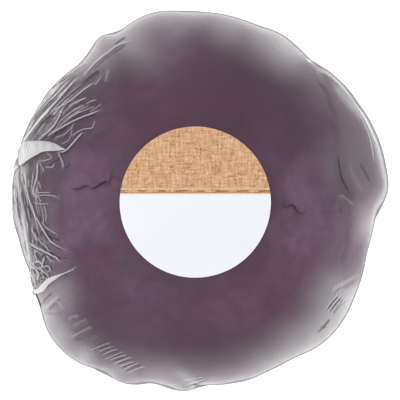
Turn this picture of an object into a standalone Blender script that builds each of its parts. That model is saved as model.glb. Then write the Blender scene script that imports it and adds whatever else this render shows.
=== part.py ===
"""A red cabbage head in clear film, with a round paper label on its crown.

The head stands on its cut stalk with the crown up. The origin is the middle of the stalk's cut
face, +Z points up through the crown, and every length is in metres.

Apart from the stalk, every surface is a distance from the head's middle along a direction, which
is an azimuth (from +X towards +Y) and a polar angle (from the crown down). The film is outermost.
Each leaf lies under the film and under the leaves outside it, and steps up where they end.
"""

import math
from dataclasses import dataclass

import bmesh
import bpy
from mathutils import Vector

MM = 0.001

# The head as it is measured over the film
MIDDLE_HEIGHT = 68.0 * MM  # of the widest ring, above the surface that the stalk stands on
RADIUS = 78.9 * MM  # mean, at the widest ring
RISE = 69.0 * MM  # from the widest ring to the crown
DROP = 62.5 * MM  # from the widest ring to the underside
CROWN_SQUARENESS = 2.25  # 2 is an ellipse, and more is a flatter crown
UNDERSIDE_SQUARENESS = 2.35

# Lobes round the widest ring, as (how many, height, azimuth of one crest)
LOBES = (
    (2, 1.5 * MM, math.radians(64.5)),
    (3, 1.2 * MM, math.radians(117.0)),
    (4, 0.5 * MM, math.radians(37.0)),
    (5, 1.75 * MM, math.radians(20.5)),
    (7, 0.7 * MM, math.radians(14.5)),
    (8, 0.6 * MM, math.radians(7.0)),
)
LOBE_TWIST = math.radians(16.0)  # the lobes lean round the head from underside to crown
LOBE_FADE = 1.5  # power of the polar angle's sine by which they die out towards the poles

# Hollows and swellings between the crown and the widest ring, as
# (how many round the head, how many from pole to pole, height, turn)
QUILTING = (
    (2, 4, 0.7 * MM, math.radians(50.0)),
    (3, 6, 0.5 * MM, math.radians(170.0)),
)

# Where the film stands off the leaves, as (azimuth, polar angle, half width, depth)
LOOSE_PATCHES = (
    (math.radians(24.0), math.radians(86.0), math.radians(34.0), 2.4 * MM),
    (math.radians(176.0), math.radians(80.0), math.radians(40.0), 1.0 * MM),
    (math.radians(300.0), math.radians(170.0), math.radians(58.0), 1.6 * MM),
    (math.radians(120.0), math.radians(170.0), math.radians(58.0), 1.6 * MM),
)

# Sheet thicknesses, and the clearance kept between any two pieces
LEAF_THICKNESS = 1.2 * MM
FILM_THICKNESS = 0.4 * MM
LABEL_THICKNESS = 0.3 * MM
CLEARANCE = 1.2 * MM
LABEL_CLEARANCE = 0.4 * MM

# The midrib stands out of a leaf's outer face, highest at the foot of the leaf
RIB_HEIGHT = 2.2 * MM
RIB_HALF_TURN = math.radians(9.0)  # one step between two spokes of a leaf's mesh
RIB_ROOM_EXTRA = 0.4 * MM
RIB_ROOM_INNER_TURN = math.radians(12.0)
RIB_ROOM_OUTER_TURN = math.radians(50.0)

EDGE_ROOM = math.radians(5.0)  # how far past an edge the leaf below starts to rise
STEP_UP_WIDTH = math.radians(21.0)  # how far from there it has risen fully

# A leaf's outline is given at these turns round its middle: tip, shoulder, side, haunch, foot
OUTLINE_TURNS = tuple(math.radians(a) for a in (0.0, 50.0, 95.0, 140.0, 180.0))

LABEL_RADIUS = 30.0 * MM
FILM_MOUTH = math.radians(157.0)  # polar angle of the film's edge, round the stalk
PLEATS = 24
PLEAT_HEIGHT = 0.6 * MM
PLEATS_FROM = math.radians(120.0)

# The stalk's outline from its cut face up into the head, as (radius, height)
STALK_OUTLINE = (
    (16.0 * MM, 0.0),
    (17.2 * MM, 1.4 * MM),
    (17.0 * MM, 5.5 * MM),
    (15.0 * MM, 9.5 * MM),
    (11.6 * MM, 17.0 * MM),
    (9.0 * MM, 22.0 * MM),
)
STALK_SIDES = 32

# The socket in the inner head that takes the stalk, as (polar angle, distance from the middle)
SOCKET_LIP = math.radians(160.5)  # polar angle where the head's underside turns up into it
SOCKET_RINGS = (
    (math.radians(163.0), 47.5 * MM),
    (math.radians(168.0), 43.0 * MM),
)
SOCKET_ROOF = 42.5 * MM  # from the head's middle

# Mesh steps
LEAF_SPOKES = 40
LEAF_RINGS = 9
LONG_LEAF_RINGS = 11
SHORT_LEAF_RINGS = 7
HEAD_SPOKES = 48
FILM_RINGS = 18
LABEL_RINGS = 4
INNER_HEAD_SPOKES = 36
INNER_HEAD_RINGS = 16

CLOSING_PASSES = 8  # enough to place the label's points to a thousandth of a millimetre
SHARP_FROM = math.radians(50.0)  # edges that bend more than this are shaded sharp

# Each finish is a colour with its opacity, and a roughness
LEAF_FINISH = ((0.075, 0.022, 0.055, 1.0), 0.40)
INNER_LEAF_FINISH = ((0.13, 0.035, 0.10, 1.0), 0.45)
STALK_FINISH = ((0.72, 0.64, 0.50, 1.0), 0.60)
FILM_FINISH = ((0.80, 0.80, 0.82, 0.25), 0.15)
LABEL_FINISH = ((0.88, 0.90, 0.93, 1.0), 0.50)


def smooth_step(value):
    """0 below 0, 1 above 1, and an even rise between them."""
    held = min(1.0, max(0.0, value))
    return held * held * (3.0 - 2.0 * held)


def direction(azimuth, polar):
    across = math.sin(polar)
    return Vector((across * math.cos(azimuth), across * math.sin(azimuth), math.cos(polar)))


def angles_of(towards):
    """The azimuth and polar angle of a unit vector."""
    return math.atan2(towards.y, towards.x), math.acos(max(-1.0, min(1.0, towards.z)))


def place(towards, distance):
    """The point that far from the head's middle."""
    return Vector((0.0, 0.0, MIDDLE_HEIGHT)) + towards * distance


def film_radius(towards):
    """How far the film's outer face is from the head's middle."""
    azimuth, polar = angles_of(towards)
    squareness = CROWN_SQUARENESS if towards.z > 0.0 else UNDERSIDE_SQUARENESS
    height = RISE if towards.z > 0.0 else DROP
    across = math.sin(polar)
    even = (
        (across / RADIUS) ** squareness + (abs(towards.z) / height) ** squareness
    ) ** (-1.0 / squareness)
    leaned = azimuth + LOBE_TWIST * towards.z
    lobes = sum(
        lobe_height * math.cos(count * (leaned - crest))
        for count, lobe_height, crest in LOBES
    )
    quilting = sum(
        depth * math.sin(around * azimuth + turn) * math.sin(down * polar)
        for around, down, depth, turn in QUILTING
    )
    return even + lobes * across**LOBE_FADE + quilting * across


def looseness(towards):
    """How far the film stands off the leaves, beyond the clearance."""
    depth = 0.0
    for azimuth, polar, half_width, patch_depth in LOOSE_PATCHES:
        away = towards.angle(direction(azimuth, polar))
        depth += patch_depth * smooth_step(1.0 - away / half_width)
    return depth


@dataclass
class Leaf:
    """A wrapper leaf: its midrib's azimuth, the polar angle of its middle, and how far it
    reaches from there at each of OUTLINE_TURNS."""

    name: str
    azimuth: float
    middle: float
    reach: tuple
    waves: int
    wave_turn: float
    wave_height: float
    rings: int

    def __post_init__(self):
        self.azimuth = math.radians(self.azimuth)
        self.middle = math.radians(self.middle)
        self.reach = tuple(math.radians(a) for a in self.reach)
        self.wave_turn = math.radians(self.wave_turn)
        self.wave_height = math.radians(self.wave_height)
        self.centre = direction(self.azimuth, self.middle)
        self.to_side = Vector((-math.sin(self.azimuth), math.cos(self.azimuth), 0.0))
        self.to_tip = self.to_side.cross(self.centre) * -1.0
        if self.to_tip.z < 0.0:
            self.to_tip.negate()

    def towards(self, away, turn):
        """The direction that is this far from the leaf's middle. Turn 0 is the tip."""
        aside = self.to_tip * math.cos(turn) + self.to_side * math.sin(turn)
        return self.centre * math.cos(away) + aside * math.sin(away)

    def away_and_turn(self, towards):
        away = math.acos(max(-1.0, min(1.0, towards.dot(self.centre))))
        turn = math.atan2(towards.dot(self.to_side), towards.dot(self.to_tip))
        return away, turn

    def outline(self, turn):
        """The leaf's reach without the waves of its edge."""
        half = abs(math.remainder(turn, 2.0 * math.pi))
        for k in range(len(OUTLINE_TURNS) - 1):
            low, high = OUTLINE_TURNS[k], OUTLINE_TURNS[k + 1]
            if half <= high:
                share = smooth_step((half - low) / (high - low))
                return self.reach[k] + (self.reach[k + 1] - self.reach[k]) * share
        return self.reach[-1]

    def waved_outline(self, turn):
        """The reach with the edge's waves, which die out at the foot."""
        at_foot = smooth_step((1.0 - math.cos(turn)) / 2.0)
        wave = self.wave_height * math.sin(self.waves * turn + self.wave_turn)
        return self.outline(turn) + wave * (1.0 - at_foot)

    def cover(self, towards):
        """1 where the leaf lies and EDGE_ROOM past it, and from there down to 0."""
        away, turn = self.away_and_turn(towards)
        inside = self.outline(turn) + self.wave_height + EDGE_ROOM - away
        return smooth_step(inside / STEP_UP_WIDTH + 1.0)

    def rib(self, towards):
        """How far the midrib stands out of the leaf here."""
        away, turn = self.away_and_turn(towards)
        off_rib = (math.pi - abs(turn)) / RIB_HALF_TURN
        return RIB_HEIGHT * (away / self.reach[-1]) ** 2 * max(0.0, 1.0 - off_rib)

    def rib_room(self, towards):
        """The room kept for the midrib, a little wider and higher than it."""
        away, turn = self.away_and_turn(towards)
        off_rib = math.pi - abs(turn)
        wide = RIB_ROOM_OUTER_TURN - RIB_ROOM_INNER_TURN
        share = smooth_step((RIB_ROOM_OUTER_TURN - off_rib) / wide)
        return (RIB_HEIGHT + RIB_ROOM_EXTRA) * share * (away / self.reach[-1]) ** 2


# From the innermost to the outermost. The reach is for the tip, shoulder, side, haunch and foot.
LEAVES = (
    Leaf("wrapper_leaf_1", 198, 82, (84, 78, 70, 74, 79), 7, 20, 1.4, LEAF_RINGS),
    Leaf("wrapper_leaf_2", 336, 82, (86, 80, 72, 74, 79), 8, 200, 1.4, LEAF_RINGS),
    Leaf("wrapper_leaf_3", 268, 84, (94, 88, 76, 74, 77), 7, 75, 1.4, LONG_LEAF_RINGS),
    Leaf("wrapper_leaf_4", 84, 80, (79, 82, 72, 74, 81), 9, 130, 1.6, LEAF_RINGS),
    Leaf("wrapper_leaf_5", 8, 100, (52, 51, 46, 50, 61), 7, 10, 1.6, SHORT_LEAF_RINGS),
    Leaf("wrapper_leaf_6", 229, 104, (44, 44, 44, 48, 57), 7, 80, 1.6, SHORT_LEAF_RINGS),
)


def depth_under(outside, towards):
    """How far under the film's outer face a piece lies that has these leaves outside it."""
    depth = FILM_THICKNESS + CLEARANCE + looseness(towards)
    for leaf in outside:
        leaf_depth = LEAF_THICKNESS + CLEARANCE + leaf.rib_room(towards)
        depth += leaf_depth * leaf.cover(towards)
    return depth


def leaf_faces_at(index, towards):
    """The distances of the leaf's outer and inner face from the head's middle."""
    leaf = LEAVES[index]
    flat = film_radius(towards) - depth_under(LEAVES[index + 1 :], towards)
    flat -= leaf.rib_room(towards)
    return flat + leaf.rib(towards), flat - LEAF_THICKNESS


def new_material(name, finish):
    """A material of one colour, opacity and roughness."""
    colour, roughness = finish
    material = bpy.data.materials.new(name)
    material.use_nodes = True
    surface = material.node_tree.nodes["Principled BSDF"]
    surface.inputs["Base Color"].default_value = colour
    surface.inputs["Metallic"].default_value = 0.0
    surface.inputs["Roughness"].default_value = roughness
    surface.inputs["Alpha"].default_value = colour[3]
    return material


def new_object(name, points, faces, finish):
    """An object from points and faces, shaded smooth, with its own material."""
    mesh = bpy.data.meshes.new(name)
    mesh.from_pydata(points, [], faces)
    shape = bmesh.new()
    shape.from_mesh(mesh)
    bmesh.ops.recalc_face_normals(shape, faces=shape.faces)
    shape.to_mesh(mesh)
    shape.free()
    mesh.shade_smooth()
    mesh.set_sharp_from_angle(angle=SHARP_FROM)
    mesh.materials.append(new_material(name, finish))
    made = bpy.data.objects.new(name, mesh)
    bpy.context.scene.collection.objects.link(made)


def ring_faces(start, rings, spokes):
    """Triangles over a centre point and the rings of points that follow it."""
    faces = []
    for k in range(spokes):
        after = (k + 1) % spokes
        faces.append((start, start + 1 + k, start + 1 + after))
        for ring in range(rings - 1):
            inner = start + 1 + ring * spokes
            outer = inner + spokes
            faces.append((inner + k, outer + k, outer + after))
            faces.append((inner + k, outer + after, inner + after))
    return faces


def sheet(name, outer, inner, rings, spokes, finish):
    """A thin closed solid between two faces, each a centre point and the rings round it."""
    count = len(outer)
    faces = ring_faces(0, rings, spokes)
    faces += [tuple(reversed(face)) for face in ring_faces(count, rings, spokes)]
    rim = 1 + (rings - 1) * spokes
    for k in range(spokes):
        after = (k + 1) % spokes
        faces.append((rim + k, count + rim + k, count + rim + after))
        faces.append((rim + k, count + rim + after, rim + after))
    new_object(name, outer + inner, faces, finish)


def make_leaf(index):
    leaf = LEAVES[index]
    spokes = [2.0 * math.pi * k / LEAF_SPOKES for k in range(LEAF_SPOKES)]
    ways = [leaf.centre]
    for ring in range(1, leaf.rings + 1):
        share = ring / leaf.rings
        ways += [leaf.towards(leaf.waved_outline(turn) * share, turn) for turn in spokes]
    distances = [leaf_faces_at(index, way) for way in ways]
    outer = [place(way, faces[0]) for way, faces in zip(ways, distances)]
    inner = [place(way, faces[1]) for way, faces in zip(ways, distances)]
    sheet(leaf.name, outer, inner, leaf.rings, LEAF_SPOKES, LEAF_FINISH)


def make_film():
    """The film's two faces run from the crown to its mouth, where it is drawn into pleats."""
    ways = [direction(0.0, 0.0)]
    pleats = [0.0]
    for ring in range(1, FILM_RINGS + 1):
        polar = FILM_MOUTH * ring / FILM_RINGS
        drawn = smooth_step((polar - PLEATS_FROM) / (FILM_MOUTH - PLEATS_FROM))
        for k in range(HEAD_SPOKES):
            azimuth = 2.0 * math.pi * k / HEAD_SPOKES
            ways.append(direction(azimuth, polar))
            pleats.append(PLEAT_HEIGHT * drawn * math.cos(PLEATS * azimuth))
    radii = [film_radius(way) + pleat for way, pleat in zip(ways, pleats)]
    outer = [place(way, radius) for way, radius in zip(ways, radii)]
    inner = [place(way, radius - FILM_THICKNESS) for way, radius in zip(ways, radii)]
    sheet("film", outer, inner, FILM_RINGS, HEAD_SPOKES, FILM_FINISH)


def over_film(across, azimuth, lift):
    """The point over the film at this distance from the axis, on the crown.

    Each pass brings the polar angle closer to the one at which the film is that far across."""
    polar = 0.0
    for _ in range(CLOSING_PASSES):
        polar = math.asin(across / (film_radius(direction(azimuth, polar)) + lift))
    way = direction(azimuth, polar)
    return place(way, film_radius(way) + lift)


def make_label():
    low, high = LABEL_CLEARANCE, LABEL_CLEARANCE + LABEL_THICKNESS
    outer = [over_film(0.0, 0.0, high)]
    inner = [over_film(0.0, 0.0, low)]
    for ring in range(1, LABEL_RINGS + 1):
        across = LABEL_RADIUS * ring / LABEL_RINGS
        for k in range(HEAD_SPOKES):
            azimuth = 2.0 * math.pi * k / HEAD_SPOKES
            outer.append(over_film(across, azimuth, high))
            inner.append(over_film(across, azimuth, low))
    sheet("label", outer, inner, LABEL_RINGS, HEAD_SPOKES, LABEL_FINISH)


def inner_head_radius(towards):
    return film_radius(towards) - depth_under(LEAVES, towards)


def make_inner_head():
    """The inner leaves, closed tight into one firm body, with a socket for the stalk."""
    crown = direction(0.0, 0.0)
    points = [place(crown, inner_head_radius(crown))]
    azimuths = [2.0 * math.pi * k / INNER_HEAD_SPOKES for k in range(INNER_HEAD_SPOKES)]
    for ring in range(1, INNER_HEAD_RINGS + 1):
        polar = SOCKET_LIP * ring / INNER_HEAD_RINGS
        ways = [direction(azimuth, polar) for azimuth in azimuths]
        points += [place(way, inner_head_radius(way)) for way in ways]
    for polar, distance in SOCKET_RINGS:
        points += [place(direction(azimuth, polar), distance) for azimuth in azimuths]
    last = len(points) - INNER_HEAD_SPOKES
    roof = len(points)
    points.append(place(direction(0.0, math.pi), SOCKET_ROOF))
    faces = ring_faces(0, INNER_HEAD_RINGS + len(SOCKET_RINGS), INNER_HEAD_SPOKES)
    for k in range(INNER_HEAD_SPOKES):
        faces.append((roof, last + (k + 1) % INNER_HEAD_SPOKES, last + k))
    new_object("inner_head", points, faces, INNER_LEAF_FINISH)


def make_stalk():
    """The cut stalk, turned about the head's axis, with a flat face to stand on."""
    points = []
    for radius, height in STALK_OUTLINE:
        for k in range(STALK_SIDES):
            turn = 2.0 * math.pi * k / STALK_SIDES
            points.append((radius * math.cos(turn), radius * math.sin(turn), height))
    top = len(points) - STALK_SIDES
    faces = [tuple(reversed(range(STALK_SIDES))), tuple(range(top, len(points)))]
    for below in range(0, top, STALK_SIDES):
        for k in range(STALK_SIDES):
            here, after = below + k, below + (k + 1) % STALK_SIDES
            faces.append((here, after, after + STALK_SIDES, here + STALK_SIDES))
    new_object("stalk", points, faces, STALK_FINISH)


def main():
    for old in list(bpy.data.objects):
        bpy.data.objects.remove(old)
    make_inner_head()
    for index in range(len(LEAVES)):
        make_leaf(index)
    make_stalk()
    make_film()
    make_label()


main()
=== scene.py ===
"""A red cabbage head in clear film, with a paper label on its crown, dressed for its picture.

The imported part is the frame: the head stands on its cut stalk, with +Z up through the crown, and
every length is in metres. Each surface is a distance from the head's middle along a way, which is
a unit vector. An azimuth runs from +X towards +Y, and a polar angle from the crown down.

Folds in the film are placed as they are seen from above: their points are in millimetres from the
head's axis, on the level of its widest ring.
"""

import math

import bpy
import numpy as np
from bpy.props import FloatProperty, FloatVectorProperty, IntProperty, PointerProperty
from bpy.types import Operator, Panel, PropertyGroup
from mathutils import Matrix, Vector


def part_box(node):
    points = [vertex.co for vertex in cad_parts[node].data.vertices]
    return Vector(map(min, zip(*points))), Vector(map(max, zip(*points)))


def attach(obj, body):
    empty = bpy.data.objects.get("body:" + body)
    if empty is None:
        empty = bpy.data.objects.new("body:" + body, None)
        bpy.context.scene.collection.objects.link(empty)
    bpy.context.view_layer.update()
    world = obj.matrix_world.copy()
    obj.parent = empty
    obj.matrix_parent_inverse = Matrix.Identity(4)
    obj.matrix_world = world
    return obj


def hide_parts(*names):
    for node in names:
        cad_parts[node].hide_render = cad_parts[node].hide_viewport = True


bl_info = {
    "name": "Wrapped Cabbage Head",
    "version": (1, 0, 0),
    "blender": (4, 5, 0),
    "location": "3D View > Sidebar > Cabbage",
    "description": "Makes the leaves, stalk, film, folds and label of a wrapped cabbage head",
    "category": "Object",
}

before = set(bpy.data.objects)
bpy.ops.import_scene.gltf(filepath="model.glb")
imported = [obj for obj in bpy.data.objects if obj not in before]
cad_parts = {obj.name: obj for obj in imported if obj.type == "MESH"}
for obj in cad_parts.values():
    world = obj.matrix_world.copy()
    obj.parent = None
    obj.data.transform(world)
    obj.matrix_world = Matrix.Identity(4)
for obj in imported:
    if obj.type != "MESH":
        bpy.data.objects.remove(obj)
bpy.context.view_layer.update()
LABEL_LOW, LABEL_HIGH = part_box("label")
STALK_LOW, STALK_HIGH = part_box("stalk")

MM = 0.001

# The head as it is measured over the film
MIDDLE_HEIGHT = 68.0 * MM
MIDDLE = np.array((0.0, 0.0, MIDDLE_HEIGHT))
RADIUS = 78.9 * MM
RISE = 69.0 * MM
DROP = 62.5 * MM
CROWN_SQUARENESS = 2.25
UNDERSIDE_SQUARENESS = 2.35

# Lobes round the widest ring, as (how many, height, azimuth of one crest)
LOBES = (
    (2, 1.5 * MM, math.radians(64.5)),
    (3, 1.2 * MM, math.radians(117.0)),
    (4, 0.5 * MM, math.radians(37.0)),
    (5, 1.75 * MM, math.radians(20.5)),
    (7, 0.7 * MM, math.radians(14.5)),
    (8, 0.6 * MM, math.radians(7.0)),
)
LOBE_TWIST = math.radians(16.0)
LOBE_FADE = 1.5

# Hollows and swellings, as (how many round, how many from pole to pole, height, turn)
QUILTING = (
    (2, 4, 0.7 * MM, math.radians(50.0)),
    (3, 6, 0.5 * MM, math.radians(170.0)),
)

# Bumps and dents of the widest ring, as (azimuth and half width in degrees, height in mm)
BUMPS = (
    (4.0, 5.0, 1.2), (28.0, 6.0, 0.5), (41.0, 5.0, 1.0), (51.5, 4.0, -1.2), (63.0, 5.0, 1.1),
    (87.0, 9.0, -1.4), (98.0, 5.0, -0.6), (111.0, 5.0, -1.1), (120.5, 3.4, 1.6),
    (131.0, 5.5, -1.5), (165.5, 4.5, -1.8), (186.0, 4.0, 0.6), (201.0, 4.0, -1.2),
    (211.5, 6.0, -1.6), (219.0, 5.0, -0.5), (238.0, 5.0, -0.9), (249.0, 4.0, 1.4),
    (257.0, 3.0, -0.7), (265.5, 4.0, 1.2), (275.5, 4.0, -1.7), (286.0, 4.0, 0.7),
    (303.0, 5.0, -0.9), (338.0, 6.0, 0.7), (351.0, 5.5, -1.4),
)
RING_POLAR = math.radians(88.0)
RING_HALF = math.radians(24.0)
BUMP_LEAN = 0.5  # degrees to the side for each degree down, at the most
BUMP_TURN = 2.4  # in the lean's wave, from one bump to the next

# Where the film stands off the leaves, as (azimuth, polar angle, half width, depth)
LOOSE_PATCHES = (
    (math.radians(24.0), math.radians(86.0), math.radians(34.0), 1.5 * MM),
    (math.radians(176.0), math.radians(80.0), math.radians(40.0), 0.2 * MM),
    (math.radians(300.0), math.radians(170.0), math.radians(58.0), 1.6 * MM),
    (math.radians(120.0), math.radians(170.0), math.radians(58.0), 1.6 * MM),
)

# How the sheets lie on each other
LEAF_GAP = 0.08 * MM
FILM_GAP = 0.5 * MM
LABEL_GAP = 0.10 * MM
TUCK_GAP = 0.25 * MM
EDGE_ROOM = math.radians(0.4)
STEP_UP_WIDTH = math.radians(12.0)
STEP_DOWN_WIDTH = math.radians(2.0)
PRESSED_PAST = 0.6 * MM  # how far a pressed edge goes past the surface beneath it
RIB_ROOM_EXTRA = 0.4 * MM
RIB_ROOM_INNER_TURN = math.radians(12.0)
RIB_ROOM_OUTER_TURN = math.radians(50.0)

# A leaf's outline and edge. Turn 0 is the tip, and half a turn on is the foot.
OUTLINE_TURNS = np.radians((0.0, 50.0, 95.0, 140.0, 180.0))
RUFFLES = ((31.0, math.radians(0.5)), (53.0, math.radians(0.35)))  # how many, and height
DRAWN_BLEND = math.radians(6.0)  # from a drawn stretch of the edge to the waved one
CLEAR_BLEND = math.radians(1.0)
CLEAR_LINE = math.radians(0.40)  # half the width of the painted shadow line under a clear edge
EDGE_TAPER = math.radians(3.0)  # how far from its edge a leaf starts to thin
EDGE_RINGS = (0.975, 0.981, 0.986, 0.990, 0.9935, 0.997, 1.0)  # shares of the reach
DRAWN_SPOKES = 90  # along each drawn stretch, and this far past its ends in radians
DRAWN_MARGIN = 0.03

# The midrib and the side veins, in radians as seen from the head's middle
RIB_HALF_TURN = math.radians(7.0)
RIB_SWAY = 0.02
RIB_AT_TIP, RIB_AT_FOOT = 0.012, 0.042
VEIN_STEP = 0.21
VEIN_STEEPNESS = 0.7  # the slant that makes a side vein narrower across than along the midrib
VEIN_CLIMB, VEIN_BOW = 1.15, 0.28
VEIN_AT_TIP, VEIN_AT_RIB = 0.006, 0.016
VEIN_REACH = 1.1
VEIN_SHARE = 0.75  # how strong a side vein is beside the midrib

# Below this polar angle the folds run straight on downwards, and fade out
FOLDS_HELD = math.radians(85.5)
FOLDS_FADE = math.radians(24.0)
TUCK_TAIL = math.radians(26.0)  # how far a tuck runs on below the widest ring

# How a fold shows: what one of height 1 gives, and widths in shares of its half width
CREST_HEIGHT = 0.40 * MM
FURROW_DEPTH = 0.20 * MM
CREST_WIDTH = 0.55
CREST_LEAST = 0.19
FURROW_WIDTH = 0.8
# The painted shadow on a crest's lower right side: its strength, and how far aside it lies and how
# wide it is
LEE_SHARE = 0.75
LEE_ASIDE, LEE_WIDTH = 2.4, 1.4  # in shares of the crest's width
FOLD_REACH = 4.0  # past this many mm a fold is not felt
ROUTE_ENDS = 0.2  # the share of a route over which it dies out
FOLD_POINTS = 24  # on each route, at the most

FILM_MOUTH = math.radians(157.0)
PLEATS_FROM = math.radians(104.0)

# Where the edge of the crown's outer leaf stands clear, left and right of the label
DRAWN_EDGES = (
    ((-52.1, 5.5), (-49.2, 5.9), (-46.6, 7.2), (-44.9, 6.6), (-44.1, 5.5), (-42.0, 6.7),
     (-39.5, 8.4), (-37.9, 9.1), (-37.4, 8.0)),
    ((38.6, -2.1), (40.7, -1.0), (42.2, -1.5), (43.1, -3.4), (44.1, -4.6), (45.8, -5.1)),
)

# Grooves pressed into the leaves near the rim, with painted shade in them, as (depth, half width,
# points)
LEAF_GROOVES = (
    (1.2, 1.3, ((59.9, 22.0), (60.6, 15.6), (61.4, 11.4), (62.7, 7.2), (64.4, 5.1), (66.5, 2.5),
     (69.2, 0.2))),
    (0.9, 2.6, ((69.0, 20.0), (72.0, 13.1), (73.6, 9.3), (76.8, 4.6))),
    (0.8, 0.9, ((58.4, 2.5), (63.9, 1.9), (66.0, -1.1), (69.0, -3.0))),
    (0.5, 0.9, ((58.9, 3.5), (58.6, -0.5), (58.2, -5.0))),
    (0.9, 1.7, ((-38.0, 57.5), (-42.8, 53.8), (-49.5, 47.6), (-55.9, 41.6))),
)
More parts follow.
